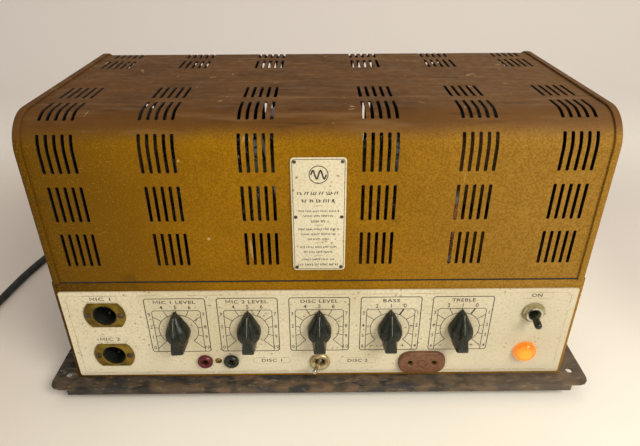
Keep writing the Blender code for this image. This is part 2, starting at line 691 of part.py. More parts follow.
def output_terminals():
    """Loudspeaker strip: six bays between raised fins."""
    bays, pitch, wall = 6, 0.0190, 0.0020
    start = -bays * pitch / 2
    outline = [(start - wall, GAP), (start - wall, 0.0110)]
    for bay in range(bays):
        left = start + bay * pitch
        right = left + pitch - wall
        outline += [(left, 0.0110), (left, 0.0050), (right, 0.0050), (right, 0.0110)]
    outline += [(start + bays * pitch, 0.0110), (start + bays * pitch, GAP)]
    x, z = TERMINALS_PLACE
    place = Matrix.Translation((x, REAR, z))
    strip = prism("output_terminals", outline, -0.0120, 0.0120, "bakelite", place)

    def tails(bm):
        half_width, half_height = TERMINALS_HALF_BACK
        add_box(bm, (x - half_width, REAR - 0.0100, z - half_height),
                (x + half_width, REAR + 0.0020, z + half_height))
    combine(strip, cutter("terminal_tails", tails), "UNION")


# Mains lead ---------------------------------------------------------------
# The stretch from the gland to the coil: out of the rear wall, down to the
# table and round the left of the amplifier.
FLOOR = CORD_RADIUS + 0.0002
CORD_ROUTE = (
    (-0.1500, 0.1263, 0.0460), (-0.1500, 0.1420, 0.0452), (-0.1508, 0.1570, 0.0405),
    (-0.1530, 0.1710, 0.0318), (-0.1575, 0.1840, 0.0215), (-0.1650, 0.1950, 0.0125),
    (-0.1770, 0.2035, 0.0065), (-0.1930, 0.2075, 0.0042), (-0.2110, 0.2060, FLOOR),
    (-0.2320, 0.1985, FLOOR), (-0.2530, 0.1855, FLOOR), (-0.2720, 0.1680, FLOOR),
    (-0.2880, 0.1460, FLOOR), (-0.3005, 0.1210, FLOOR), (-0.3095, 0.0930, FLOOR),
    (-0.3160, 0.0630, FLOOR), (-0.3200, 0.0320, FLOOR), (-0.3225, 0.0020, FLOOR),
    (-0.3240, -0.0240, FLOOR), (-0.3244, -0.0457, FLOOR))


def smooth_route(route, spacing):
    """Read evenly spaced points from the smooth curve through a route."""
    points = [Vector(point) for point in route]
    points = [2 * points[0] - points[1], *points, 2 * points[-1] - points[-2]]
    curve = []
    for first, second, third, fourth in zip(points, points[1:], points[2:], points[3:]):
        for step in range(12):
            t = step / 12
            curve.append(0.5 * (2 * second + (third - first) * t
                                + (2 * first - 5 * second + 4 * third - fourth) * t ** 2
                                + (3 * second - 3 * third + fourth - first) * t ** 3))
    curve.append(points[-2])
    travelled, kept = 0.0, [curve[0]]
    for before, after in zip(curve, curve[1:]):
        travelled += (after - before).length
        if travelled >= spacing:
            kept.append(after)
            travelled = 0.0
    if (kept[-1] - curve[-1]).length < spacing / 2:
        kept.pop()
    return kept + [curve[-1]]


def tube(name, points, finish):
    """Round tube with closed ends through a list of points."""
    data = bpy.data.curves.new(name, "CURVE")
    data.dimensions = "3D"
    data.bevel_depth = CORD_RADIUS
    data.bevel_resolution = 2
    data.render_resolution_u = 0
    data.use_fill_caps = True
    spline = data.splines.new("POLY")
    spline.points.add(len(points) - 1)
    for place, point in zip(spline.points, points):
        place.co = (*point, 1.0)
    data.materials.append(material(finish))
    thing = bpy.data.objects.new(name, data)
    bpy.context.scene.collection.objects.link(thing)


def coil():
    """Outer shape of the wound lead, notched where the lead enters and leaves."""
    width = 2 * COIL_COLUMNS * CORD_RADIUS
    height = 2 * COIL_LAYERS * CORD_RADIUS
    inner, outer = COIL_RADIUS - width / 2, COIL_RADIUS + width / 2
    edge = CORD_RADIUS * 0.6
    profile = [(inner, edge), (inner + edge, 0.0), (outer - edge, 0.0), (outer, edge),
               (outer, height - edge), (outer - edge, height), (inner + edge, height), (inner, height - edge)]
    ring = turned("cord_coil", profile, "rubber", Matrix.Translation(COIL_CENTRE), FINE, ring=True)
    x, y, _ = COIL_CENTRE
    reach = 0.060
    notch = 2 * CORD_RADIUS + 2 * GAP
    near = COIL_OUTER_TURN - CORD_RADIUS - GAP

    def notches(bm):
        add_box(bm, (x + near, y, -0.001), (x + reach, y + reach, notch))
        add_box(bm, (x - reach, y, height - notch), (x - near, y + reach, height + 0.001))
    combine(ring, cutter("coil_notches", notches), "DIFFERENCE")


def mains_lead():
    spacing = 5 * CORD_RADIUS
    tube("mains_cord", smooth_route(CORD_ROUTE, spacing), "rubber")
    coil()
    top_turn = (2 * COIL_LAYERS - 1) * CORD_RADIUS
    start = COIL_CENTRE + Vector((-COIL_OUTER_TURN, GAP, top_turn))
    end = start + Vector((0.0, TAIL_LENGTH, PLUG_HEIGHT - top_turn))
    tail = []
    for step in range(7):
        t = step / 6
        rise = t * t * (3 - 2 * t)
        tail.append(Vector((start.x, start.y + t * TAIL_LENGTH, start.z + rise * (end.z - start.z))))
    tube("cord_tail", tail, "rubber")
    plug_back = end + Vector((0.0, GAP, 0.0))
    place = Matrix.Translation(plug_back) @ TOWARDS_REAR
    body = [(0.0, 0.0), (0.0060, 0.0), (0.0085, 0.0080), (0.0160, 0.0150), (PLUG_RADIUS, 0.0200),
            (PLUG_RADIUS, 0.0320), (PLUG_RADIUS - 0.0010, 0.0340), (0.0, 0.0340)]
    plug = turned("mains_plug", body, "bakelite", place)

    def pins(bm):
        for side in (-1, 1):
            pin = [(0.0, 0.030), (0.0020, 0.030), (0.0020, 0.0520), (0.0012, 0.0530), (0.0, 0.0530)]
            add_turned(bm, pin, 12, Matrix.Translation((side * OUTLET_PIN_PITCH / 2, 0.0, 0.0)))
    tool = cutter("plug_pins", pins)
    tool.matrix_world = place
    combine(plug, tool, "UNION")


# Assembly -----------------------------------------------------------------
def build():
    clear_scene()
    cutter("front_holes", front_holes)
    base_plate()
    feet()
    chassis()
    front_panel()
    cover_wrap()
    cover_end("cover_end_left", -1)
    cover_end("cover_end_right", 1)
    nameplate()
    controls()
    selector()
    power_switch()
    for number, height in enumerate(MIC_HEIGHTS, 1):
        mic_socket(f"mic_socket_{number}", LEFT_COLUMN, height)
    phono_socket("phono_socket_red", *PHONO_PLACES["red"], "red_plastic")
    phono_socket("phono_socket_black", *PHONO_PLACES["black"], "bakelite")
    two_pin_socket()
    pilot_lamp()
    tubes()
    filter_capacitor()
    for name, place in TRANSFORMERS.items():
        transformer(name, *place)
    rear_fittings()
    mains_lead()


build()
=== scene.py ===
"""Looks of the valve mixer amplifier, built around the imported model.

Metres, +Z up, front towards -Y, +X to the right of someone facing the front.
"""

import random
from math import atan2, cos, exp, pi, radians, sin, sqrt

import bmesh
import bpy
from mathutils import Matrix, Vector


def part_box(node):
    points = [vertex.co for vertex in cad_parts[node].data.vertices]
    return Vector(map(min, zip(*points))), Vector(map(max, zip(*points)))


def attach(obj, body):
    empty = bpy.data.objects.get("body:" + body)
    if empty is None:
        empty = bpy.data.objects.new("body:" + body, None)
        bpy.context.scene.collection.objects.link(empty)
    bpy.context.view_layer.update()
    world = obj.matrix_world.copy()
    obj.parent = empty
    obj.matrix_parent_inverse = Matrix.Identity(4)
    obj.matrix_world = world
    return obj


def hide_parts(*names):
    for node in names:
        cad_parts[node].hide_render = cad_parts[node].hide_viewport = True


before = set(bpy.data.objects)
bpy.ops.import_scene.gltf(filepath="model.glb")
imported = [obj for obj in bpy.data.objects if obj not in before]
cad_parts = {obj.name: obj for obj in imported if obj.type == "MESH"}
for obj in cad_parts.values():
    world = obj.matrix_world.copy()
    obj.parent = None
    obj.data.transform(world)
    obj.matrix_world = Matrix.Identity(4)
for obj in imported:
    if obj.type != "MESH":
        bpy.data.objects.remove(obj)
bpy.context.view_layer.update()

ROOT = "amplifier"
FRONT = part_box("chassis")[0].y
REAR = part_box("chassis")[1].y
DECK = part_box("chassis")[1].z
PANEL_LOW, PANEL_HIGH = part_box("front_panel")
PANEL_FACE = PANEL_LOW.y
MM = 0.001
GAP = 0.0003
PANEL_THICKNESS = 0.0018
PIN_OFFSET = 0.0095

TOWARDS_FRONT = Matrix.Rotation(radians(90), 4, "X")
TOWARDS_REAR = Matrix.Rotation(radians(-90), 4, "X")
IDENTITY = Matrix.Identity(4)


def centre(node):
    low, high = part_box(node)
    return (low + high) / 2


def at_front(x, z, y=FRONT):
    """Place local Z pointing out of the front, local X to the right."""
    return Matrix.Translation((x, y, z)) @ TOWARDS_FRONT


def at_rear(x, z, y=REAR):
    """Place local Z pointing out of the rear."""
    return Matrix.Translation((x, y, z)) @ TOWARDS_REAR


def front_of(node, y=FRONT):
    """The place on the front at a node's middle."""
    middle = centre(node)
    return at_front(middle.x, middle.z, y)


def rear_of(node, y=REAR):
    """The place on the rear at a node's middle."""
    middle = centre(node)
    return at_rear(middle.x, middle.z, y)


# Camera, lights and stage ---------------------------------------------------
CAMERA_PLACE = (-0.0011, FRONT - 0.3267, 0.3406)
CAMERA_PITCH, CAMERA_YAW, CAMERA_ROLL = radians(29.4), radians(0.337), radians(-0.27)
CAMERA_LENS, CAMERA_SENSOR = 30.656, 36.0
WORLD_COLOUR, WORLD_STRENGTH = (1.0, 0.965, 0.925, 1.0), 0.45
FLOOR_END, SWEEP_RADIUS, SWEEP_STEPS, WALL_TOP = 0.75, 0.45, 12, 2.6
STAGE_FRONT, STAGE_HALF_WIDTH = -3.0, 4.0


def camera():
    """Camera of the photograph: a little above the amplifier, 29 degrees down."""
    pitch, yaw = CAMERA_PITCH, CAMERA_YAW
    forward = Vector((sin(yaw) * cos(pitch), cos(yaw) * cos(pitch), -sin(pitch)))
    right = Vector((cos(yaw), -sin(yaw), 0.0))
    up = right.cross(forward)
    level = Matrix((right, up, -forward)).transposed()
    data = bpy.data.cameras.new("camera")
    data.sensor_width = CAMERA_SENSOR
    data.lens = CAMERA_LENS
    data.clip_start = 0.01
    eye = bpy.data.objects.new("camera", data)
    turn = level.to_4x4() @ Matrix.Rotation(CAMERA_ROLL, 4, "Z")
    eye.matrix_world = Matrix.Translation(CAMERA_PLACE) @ turn
    bpy.context.scene.collection.objects.link(eye)
    bpy.context.scene.camera = eye


def area_light(name, place, target, size, power, colour):
    data = bpy.data.lights.new(name, "AREA")
    data.shape = "DISK"
    data.size = size
    data.energy = power
    data.color = colour
    lamp = bpy.data.objects.new(name, data)
    lamp.location = place
    lamp.rotation_euler = (Vector(target) - Vector(place)).to_track_quat("-Z", "Y").to_euler()
    bpy.context.scene.collection.objects.link(lamp)


def lights():
    """Warm soft light, stronger from the upper right."""
    world = bpy.data.worlds.new("studio")
    world.use_nodes = True
    background = world.node_tree.nodes["Background"]
    background.inputs["Color"].default_value = WORLD_COLOUR
    background.inputs["Strength"].default_value = WORLD_STRENGTH
    bpy.context.scene.world = world
    area_light("key", (0.80, -0.95, 1.05), (0.08, 0.0, 0.1), 0.8, 19.0, (1.0, 0.93, 0.81))
    area_light("fill", (-1.2, -1.3, 0.8), (0.0, 0.0, 0.1), 1.4, 2.5, (1.0, 0.95, 0.88))
    area_light("back", (0.2, 1.4, 1.9), (0.0, 0.2, 0.1), 1.6, 9.0, (1.0, 0.96, 0.92))


def backdrop():
    """Floor that sweeps up into a wall behind the amplifier."""
    profile = [(STAGE_FRONT, 0.0), (FLOOR_END, 0.0)]
    for step in range(1, SWEEP_STEPS + 1):
        angle = step * pi / 2 / SWEEP_STEPS
        profile.append((FLOOR_END + SWEEP_RADIUS * sin(angle), SWEEP_RADIUS * (1 - cos(angle))))
    profile.append((FLOOR_END + SWEEP_RADIUS, WALL_TOP))
    bm = bmesh.new()
    rows = [[bm.verts.new((x, y, z)) for y, z in profile] for x in (-STAGE_HALF_WIDTH, STAGE_HALF_WIDTH)]
    for index in range(len(profile) - 1):
        bm.faces.new((rows[0][index], rows[1][index], rows[1][index + 1], rows[0][index + 1]))
    mesh = bpy.data.meshes.new("backdrop")
    bm.to_mesh(mesh)
    bm.free()
    mesh.shade_smooth()
    mesh.materials.append(finish("stage_paper"))
    sweep = bpy.data.objects.new("backdrop", mesh)
    bpy.context.scene.collection.objects.link(sweep)


# Materials ------------------------------------------------------------------
class Nodes:
    """A Principled material and short ways to add nodes to it."""

    def __init__(self, name, colour, roughness, metallic=0.0, specular=0.35):
        self.material = bpy.data.materials.new(name)
        self.material.use_nodes = True
        self.tree = self.material.node_tree
        self.shader = self.tree.nodes["Principled BSDF"]
        self.place = self.add("ShaderNodeTexCoord").outputs["Object"]
        self.set("Base Color", colour)
        self.set("Roughness", roughness)
        self.set("Metallic", metallic)
        self.set("Specular IOR Level", specular)
        self.normal = None

    def add(self, kind, **settings):
        node = self.tree.nodes.new(kind)
        for key, value in settings.items():
            setattr(node, key, value)
        return node

    def put(self, socket, value):
        """Link a socket to another, or set its value."""
        if isinstance(value, bpy.types.NodeSocket):
            self.tree.links.new(value, socket)
        elif isinstance(value, tuple) and len(value) == 3 and socket.type == "RGBA":
            socket.default_value = (*value, 1.0)
        else:
            socket.default_value = value
        return self

    def set(self, name, value):
        return self.put(self.shader.inputs[name], value)

    def stretched(self, scale):
        node = self.add("ShaderNodeMapping")
        self.put(node.inputs["Vector"], self.place)
        node.inputs["Scale"].default_value = scale
        return node.outputs["Vector"]

    def noise(self, scale, detail, stretch=None, distortion=0.0):
        node = self.add("ShaderNodeTexNoise")
        self.put(node.inputs["Vector"], self.stretched(stretch) if stretch else self.place)
        node.inputs["Scale"].default_value = scale
        node.inputs["Detail"].default_value = detail
        node.inputs["Distortion"].default_value = distortion
        return node.outputs["Fac"]

    def cells(self, scale):
        node = self.add("ShaderNodeTexVoronoi")
        self.put(node.inputs["Vector"], self.place)
        node.inputs["Scale"].default_value = scale
        return node.outputs["Distance"]

    def axis(self, letter):
        node = self.add("ShaderNodeSeparateXYZ")
        self.put(node.inputs[0], self.place)
        return node.outputs[letter]

    def ramp(self, value, low, high, start=0.0, end=1.0):
        """Rise smoothly from start to end as value goes from low to high."""
        node = self.add("ShaderNodeMapRange", interpolation_type="SMOOTHSTEP")
        self.put(node.inputs["Value"], value)
        for key, number in (("From Min", low), ("From Max", high), ("To Min", start), ("To Max", end)):
            node.inputs[key].default_value = number
        return node.outputs["Result"]

    def math(self, operation, first, second=0.0):
        node = self.add("ShaderNodeMath", operation=operation)
        self.put(node.inputs[0], first)
        self.put(node.inputs[1], second)
        return node.outputs[0]

    def mix(self, amount, first, second):
        node = self.add("ShaderNodeMix", data_type="RGBA")
        self.put(node.inputs["Factor"], amount)
        self.put(node.inputs["A"], first)
        self.put(node.inputs["B"], second)
        return node.outputs["Result"]

    def layer(self, under, mask, strength, over):
        """Lay a colour over another as far as a mask and a strength let it."""
        return self.mix(self.math("MULTIPLY", mask, strength), under, over)

    def bump(self, height, distance, strength=1.0):
        node = self.add("ShaderNodeBump")
        node.inputs["Distance"].default_value = distance
        node.inputs["Strength"].default_value = strength
        self.put(node.inputs["Height"], height)
        if self.normal:
            self.put(node.inputs["Normal"], self.normal)
        self.normal = node.outputs["Normal"]
        self.set("Normal", self.normal)
        return self


def gold_enamel(name="gold_enamel", dusty_shaded_top=True):
    """Hammered gold enamel: mottled, with painted light to the right and painted shade to the left, a dull
    brown where it faces up that is partly dust and partly painted shade, chipped here and there.
    """
    m = Nodes(name, (0.3, 0.15, 0.01), 0.45, 0.10, 0.08)
    drift = m.ramp(m.noise(14, 4), 0.35, 0.65)
    colour = m.mix(drift, (0.305, 0.144, 0.0016), (0.245, 0.113, 0.0013))
    # Painted light: the enamel turns lighter towards the right, where the light is stronger.
    across = m.ramp(m.axis("X"), 0.0, 0.18)
    colour = m.layer(colour, across, 0.85, (0.318, 0.174, 0.030))
    # Painted shade: darker towards the left, and darker still at the far left end.
    painted_shade_left = m.ramp(m.axis("X"), -0.06, -0.198)
    colour = m.layer(colour, painted_shade_left, 0.78 if dusty_shaded_top else 1.0, (0.060, 0.028, 0.0010))
    far = m.ramp(m.axis("X"), -0.184, -0.196)
    colour = m.layer(colour, far, 0.60, (0.034, 0.016, 0.0010))
    grain = m.ramp(m.noise(820, 4), 0.42, 0.58)
    colour = m.layer(colour, grain, 0.50, (0.150, 0.066, 0.0012))
    glint = m.ramp(m.noise(1100, 2), 0.60, 0.70)
    colour = m.layer(colour, glint, 0.35, (0.520, 0.300, 0.030))
    seam = m.math("ABSOLUTE", m.math("SUBTRACT", m.math("PINGPONG", m.axis("X"), 0.0320), 0.0160))
    print_line = m.math("MULTIPLY", m.ramp(seam, 0.0005, 0.0001), m.ramp(m.noise(40, 3), 0.45, 0.62))
    colour = m.layer(colour, print_line, 0.30, (0.110, 0.058, 0.003))
    if dusty_shaded_top:
        # Where it faces up the enamel goes a dull brown, partly dust and partly painted shade for how light
        # falls on the top; it is lighter to the right there too, in painted light.
        wavy = m.math("ADD", m.axis("Z"), m.math("MULTIPLY", m.noise(30, 5), 0.006))
        upward = m.ramp(wavy, COVER_TOP - 0.0145, COVER_TOP - 0.0015)
        brown = m.mix(m.ramp(m.noise(22, 5), 0.35, 0.7), (0.118, 0.050, 0.0125), (0.082, 0.034, 0.0085))
        brown = m.layer(brown, across, 0.45, (0.165, 0.082, 0.030))
        colour = m.layer(colour, upward, 0.96, brown)
        dust = m.ramp(m.noise(150, 7, stretch=(0.12, 1.0, 1.0)), 0.50, 0.70)
        colour = m.layer(colour, m.math("MULTIPLY", dust, upward), 0.38, (0.230, 0.130, 0.058))
        soot = m.ramp(m.noise(210, 6, stretch=(0.10, 1.0, 1.0)), 0.57, 0.70)
        colour = m.layer(colour, m.math("MULTIPLY", soot, upward), 0.55, (0.048, 0.024, 0.010))
        m.set("Metallic", m.ramp(m.axis("Z"), COVER_TOP - 0.021, COVER_TOP - 0.004, 0.10, 0.0))
    stains = m.ramp(m.noise(48, 6, distortion=0.4), 0.64, 0.76)
    colour = m.layer(colour, stains, 0.45, (0.070, 0.036, 0.004))
    scratch = m.ramp(m.noise(70, 2, stretch=(1.0, 1.0, 0.12), distortion=1.2), 0.70, 0.735)
    chips = m.ramp(m.cells(46), 0.070, 0.035)
    few = m.ramp(m.noise(19, 1), 0.56, 0.64)
    marks = m.math("MAXIMUM", m.math("MULTIPLY", chips, few), m.math("MULTIPLY", scratch, 0.5))
    colour = m.layer(colour, marks, 0.75, (0.56, 0.42, 0.20))
    m.set("Base Color", colour)
    m.set("Roughness", m.ramp(m.noise(150, 3), 0.3, 0.7, 0.50, 0.66))
    m.bump(m.noise(520, 2), 0.00022, 1.0)
    m.bump(marks, -0.00008)
    return m.material


def panel_cream():
    """Cream silk enamel, yellowed in clouds and peppered with small brown specks."""
    m = Nodes("panel_cream", (0.7, 0.6, 0.4), 0.42, 0.0)
    clouds = m.ramp(m.noise(17, 4), 0.35, 0.7)
    colour = m.mix(clouds, (0.705, 0.640, 0.465), (0.615, 0.545, 0.370))
    grain = m.ramp(m.noise(620, 3), 0.44, 0.66)
    colour = m.layer(colour, grain, 0.42, (0.43, 0.35, 0.19))
    specks = m.ramp(m.cells(230), 0.24, 0.12)
    some = m.ramp(m.noise(75, 2), 0.44, 0.60)
    colour = m.layer(colour, m.math("MULTIPLY", specks, some), 0.75, (0.20, 0.13, 0.06))
    large = m.ramp(m.cells(85), 0.10, 0.05)
    rare = m.ramp(m.noise(23, 1), 0.52, 0.62)
    colour = m.layer(colour, m.math("MULTIPLY", large, rare), 0.8, (0.24, 0.15, 0.06))
    edge = m.math("SUBTRACT", m.axis("Z"), PANEL_LOW.z)
    # Painted light: the panel turns lighter over its lowest few centimetres.
    colour = m.mix(m.ramp(edge, 0.030, 0.004, 0.0, 0.50), colour, (0.800, 0.735, 0.560))
    # Painted shade: darker towards the right end of the panel.
    colour = m.mix(m.ramp(m.axis("X"), 0.060, 0.190, 0.0, 0.45), colour, (0.520, 0.470, 0.350))
    grime = m.ramp(edge, 0.0045, 0.0, 0.0, 0.45)
    colour = m.layer(colour, grime, m.noise(60, 4), (0.30, 0.20, 0.09))
    m.set("Base Color", colour)
    m.set("Roughness", m.ramp(m.noise(120, 3), 0.3, 0.7, 0.34, 0.52))
    m.bump(m.noise(700, 2), 0.00006, 0.6)
    return m.material


def rusted_steel():
    """Dark painted sheet gone to brown and blue-grey rust in small patches."""
    m = Nodes("rusted_steel", (0.05, 0.04, 0.03), 0.65, 0.0, 0.30)
    colour = m.mix(m.ramp(m.noise(90, 6), 0.38, 0.60), (0.026, 0.024, 0.020), (0.100, 0.072, 0.044))
    rust = m.ramp(m.noise(120, 8, stretch=(0.45, 1, 1.2)), 0.48, 0.62)
    colour = m.layer(colour, rust, 0.70, (0.175, 0.105, 0.058))
    blue = m.ramp(m.noise(85, 7, stretch=(0.6, 1, 1)), 0.50, 0.62)
    colour = m.layer(colour, blue, 0.80, (0.030, 0.033, 0.038))
    # Painted light: lighter towards the right.
    painted_light_right = m.ramp(m.axis("X"), 0.02, 0.20)
    colour = m.layer(colour, painted_light_right, 0.35, (0.200, 0.150, 0.100))
    # Painted shade: darker towards the left.
    painted_shade_left = m.ramp(m.axis("X"), -0.05, -0.20)
    colour = m.layer(colour, painted_shade_left, 0.50, (0.022, 0.020, 0.014))
    flecks = m.ramp(m.noise(330, 5, stretch=(0.4, 1, 1)), 0.56, 0.70)
    colour = m.layer(colour, flecks, 0.45, (0.26, 0.19, 0.12))
    m.set("Base Color", colour)
    m.set("Roughness", m.ramp(m.noise(60, 4), 0.3, 0.7, 0.50, 0.85))
    m.bump(m.noise(380, 5), 0.00016, 0.8)
    m.bump(m.noise(40, 4), 0.00060, 0.6)
    return m.material


def moulded(name, colour, second, roughness, grain=260, marks=0.25):
    """Moulded plastic or rubber with faint mottling, fine texture and rubbed patches."""
    m = Nodes(name, colour, roughness)
    mottled = m.mix(m.ramp(m.noise(grain, 4), 0.35, 0.65), colour, second)
    rubbed = m.ramp(m.noise(130, 5), 0.56, 0.70)
    light = tuple(min(1.0, value * 2.4 + 0.03) for value in second)
    m.set("Base Color", m.layer(mottled, rubbed, marks, light))
    m.set("Roughness", m.ramp(m.noise(90, 4), 0.3, 0.7, roughness * 0.75, min(1.0, roughness * 1.35)))
    m.bump(m.noise(900, 3), 0.00003, 0.7)
    return m.material


def metal(name, colour, second, roughness, metallic=1.0, brushed=None):
    """Bare or plated metal with tarnish in patches and fine scratches."""
    m = Nodes(name, colour, roughness, metallic)
    tarnish = m.ramp(m.noise(120, 6), 0.40, 0.68)
    m.set("Base Color", m.mix(tarnish, colour, second))
    m.set("Roughness", m.ramp(m.noise(160, 5), 0.3, 0.7, roughness * 0.7, min(1.0, roughness * 1.5)))
    m.bump(m.noise(900, 3, stretch=brushed or (1, 1, 1)), 0.00004, 0.6)
    return m.material


def amber_jewel():
    """Amber lens with a pebbled back, lit from behind, brightest to the left of its middle."""
    low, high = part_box("pilot_jewel")
    m = Nodes("amber_jewel", (0.95, 0.28, 0.02), 0.12, 0.0, 0.5)
    away = m.add("ShaderNodeVectorMath", operation="DISTANCE")
    m.put(away.inputs[0], m.place)
    away.inputs[1].default_value = ((low.x + high.x) / 2 - 0.0015, low.y, (low.z + high.z) / 2 + 0.0002)
    near = m.ramp(away.outputs["Value"], 0.0092, 0.0022)
    facets = m.ramp(m.cells(420), 0.2, 0.6)
    glow = m.mix(near, (1.0, 0.185, 0.010), (1.0, 0.50, 0.030))
    glow = m.layer(glow, facets, 0.25, (1.0, 0.50, 0.03))
    m.set("Base Color", (0.35, 0.06, 0.002))
    m.set("Emission Color", glow)
    m.set("Emission Strength", 0.80)
    m.bump(m.cells(420), 0.0003, 0.6)
    return m.material


def glass():
    """Clear thin glass."""
    m = Nodes("clear_glass", (0.93, 0.95, 0.94), 0.04)
    m.set("Transmission Weight", 0.94)
    m.set("IOR", 1.47)
    m.bump(m.noise(60, 2), 0.0001, 0.3)
    return m.material


def laminations(name, node, winding_inset):
    """Stacked core plates, with the paper-covered winding on both faces."""
    low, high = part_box(node)
    m = Nodes(name, (0.07, 0.07, 0.08), 0.5, 0.5)
    plates = m.math("SINE", m.math("MULTIPLY", m.axis("Y"), 2 * pi / 0.0011))
    varnish = m.mix(m.ramp(m.noise(45, 4), 0.35, 0.65), (0.050, 0.050, 0.056), (0.110, 0.085, 0.060))
    core = m.mix(m.ramp(plates, -0.2, 0.8, 0.0, 0.5), varnish, (0.17, 0.15, 0.13))
    creases = m.ramp(m.noise(70, 5, stretch=(1, 1, 4)), 0.35, 0.7)
    paper = m.mix(creases, (0.30, 0.17, 0.07), (0.18, 0.09, 0.04))
    out = m.math("ABSOLUTE", m.math("SUBTRACT", m.axis("Y"), (low.y + high.y) / 2))
    is_paper = m.math("GREATER_THAN", out, (high.y - low.y) / 2 - winding_inset + GAP)
    m.set("Base Color", m.mix(is_paper, core, paper))
    m.set("Metallic", m.ramp(is_paper, 0.0, 1.0, 0.5, 0.0))
    m.bump(plates, 0.0001, 0.5)
    return m.material


def stage_paper():
    m = Nodes("stage_paper", (0.8, 0.76, 0.7), 0.9)
    # Painted light and shade: the floor darkens towards the back, and the wall is darker than the floor and
    # darker to the left than to the right.
    depth = m.ramp(m.axis("Y"), -0.35, 1.1)
    height = m.ramp(m.axis("Z"), 0.05, 0.9)
    colour = m.mix(depth, (0.94, 0.91, 0.82), (0.84, 0.79, 0.74))
    side = m.ramp(m.axis("X"), -1.2, 1.2)
    colour = m.mix(height, colour, m.mix(side, (0.63, 0.555, 0.525), (0.93, 0.88, 0.84)))
    # Painted shadows on the floor: darker to the left of the amplifier, and to its right from its front
    # backwards.
    floor = m.ramp(m.axis("Y"), 0.50, 0.20)
    left = m.math("MULTIPLY", m.ramp(m.axis("X"), -0.06, -0.34), floor)
    colour = m.layer(colour, left, 0.60, (0.66, 0.555, 0.475))
    behind = m.math("MULTIPLY", m.ramp(m.axis("Y"), -0.14, 0.04), floor)
    right = m.math("MULTIPLY", m.ramp(m.axis("X"), 0.22, 0.36), behind)
    colour = m.layer(colour, right, 0.80, (0.66, 0.60, 0.56))
    m.set("Base Color", m.layer(colour, m.noise(6, 2), 0.05, (0.78, 0.71, 0.62)))
    return m.material


FINISHES = {
    "gold_enamel": gold_enamel,
    "gold_chassis": lambda: gold_enamel("gold_chassis", dusty_shaded_top=False),
    "panel_cream": panel_cream,
    "rusted_steel": rusted_steel,
    "amber_jewel": amber_jewel,
    "clear_glass": glass,
    "stage_paper": stage_paper,
    "inner_black": lambda: moulded(
        "inner_black", (0.0045, 0.0050, 0.0035), (0.010, 0.011, 0.008), 0.6, marks=0.05),
    "inner_shade": lambda: moulded("inner_shade", (0.030, 0.020, 0.012), (0.016, 0.011, 0.008), 0.8),
    "print_ink": lambda: moulded("print_ink", (0.014, 0.016, 0.016), (0.035, 0.034, 0.028), 0.55, marks=0.1),
    "brown_line": lambda: moulded("brown_line", (0.34, 0.24, 0.11), (0.60, 0.51, 0.33), 0.55, 110, 0.6),
    "rubber": lambda: moulded("black_rubber", (0.010, 0.011, 0.012), (0.017, 0.017, 0.017), 0.50, marks=0.15),
    "bakelite": lambda: moulded(
        "dark_bakelite", (0.010, 0.012, 0.009), (0.020, 0.023, 0.016), 0.28, marks=0.12),
    "knob_bakelite": lambda: moulded(
        "knob_bakelite", (0.0065, 0.0080, 0.0045), (0.013, 0.016, 0.009), 0.24, marks=0.22),
    "brown_bakelite": lambda: moulded(
        "brown_bakelite", (0.190, 0.084, 0.038), (0.130, 0.054, 0.025), 0.42, 420, 0.10),
    "red_plastic": lambda: moulded(
        "red_plastic", (0.120, 0.010, 0.016), (0.070, 0.008, 0.010), 0.32, marks=0.08),
    "ivory_plastic": lambda: moulded(
        "ivory_plastic", (0.36, 0.31, 0.155), (0.19, 0.155, 0.060), 0.38, marks=0.15),
    "white_paint": lambda: moulded("white_paint", (0.20, 0.20, 0.15), (0.10, 0.11, 0.08), 0.5, marks=0.1),
    "porcelain": lambda: moulded("porcelain", (0.80, 0.78, 0.72), (0.70, 0.66, 0.58), 0.2, marks=0.1),
    "brass": lambda: metal("tarnished_brass", (0.27, 0.188, 0.034), (0.145, 0.095, 0.016), 0.45),
    "ivory_brass": lambda: metal("pale_brass", (0.58, 0.50, 0.30), (0.34, 0.25, 0.10), 0.34, 0.85),
    "dark_screw": lambda: metal("dark_screw", (0.050, 0.038, 0.024), (0.110, 0.080, 0.045), 0.50, 0.5),
    "steel": lambda: metal("nickelled_steel", (0.62, 0.60, 0.54), (0.36, 0.32, 0.25), 0.30),
    "aluminium": lambda: metal(
        "drawn_aluminium", (0.60, 0.60, 0.61), (0.44, 0.44, 0.45), 0.34, brushed=(1, 1, 8)),
    "getter": lambda: metal("getter_silver", (0.50, 0.52, 0.55), (0.20, 0.21, 0.24), 0.16),
    "anode": lambda: metal("grey_anode", (0.045, 0.046, 0.050), (0.09, 0.09, 0.09), 0.6, 0.5),
    "copper": lambda: metal("copper_wire", (0.60, 0.27, 0.13), (0.40, 0.16, 0.07), 0.35),
}


MADE = {}


def finish(name):
    """The named material, made once."""
    if name not in MADE:
        MADE[name] = FINISHES[name]()
    return MADE[name]


# Mesh helpers -----------------------------------------------------------------
AXIS_RADIUS = 0.00004


def new_piece(name, bm, finish_names, slot, body=ROOT, replaces=(), smooth=35):
    """Turn a bmesh in row coordinates into a riding piece."""
    bmesh.ops.recalc_face_normals(bm, faces=bm.faces)
    mesh = bpy.data.meshes.new(name)
    bm.to_mesh(mesh)
    bm.free()
    mesh.shade_smooth()
    mesh.set_sharp_from_angle(angle=radians(smooth))
    names = (finish_names,) if isinstance(finish_names, str) else finish_names
    for finish_name in names:
        mesh.materials.append(finish(finish_name))
    piece = bpy.data.objects.new(name, mesh)
    bpy.context.scene.collection.objects.link(piece)
    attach(piece, body)
    if replaces:
        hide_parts(*replaces)
    return piece


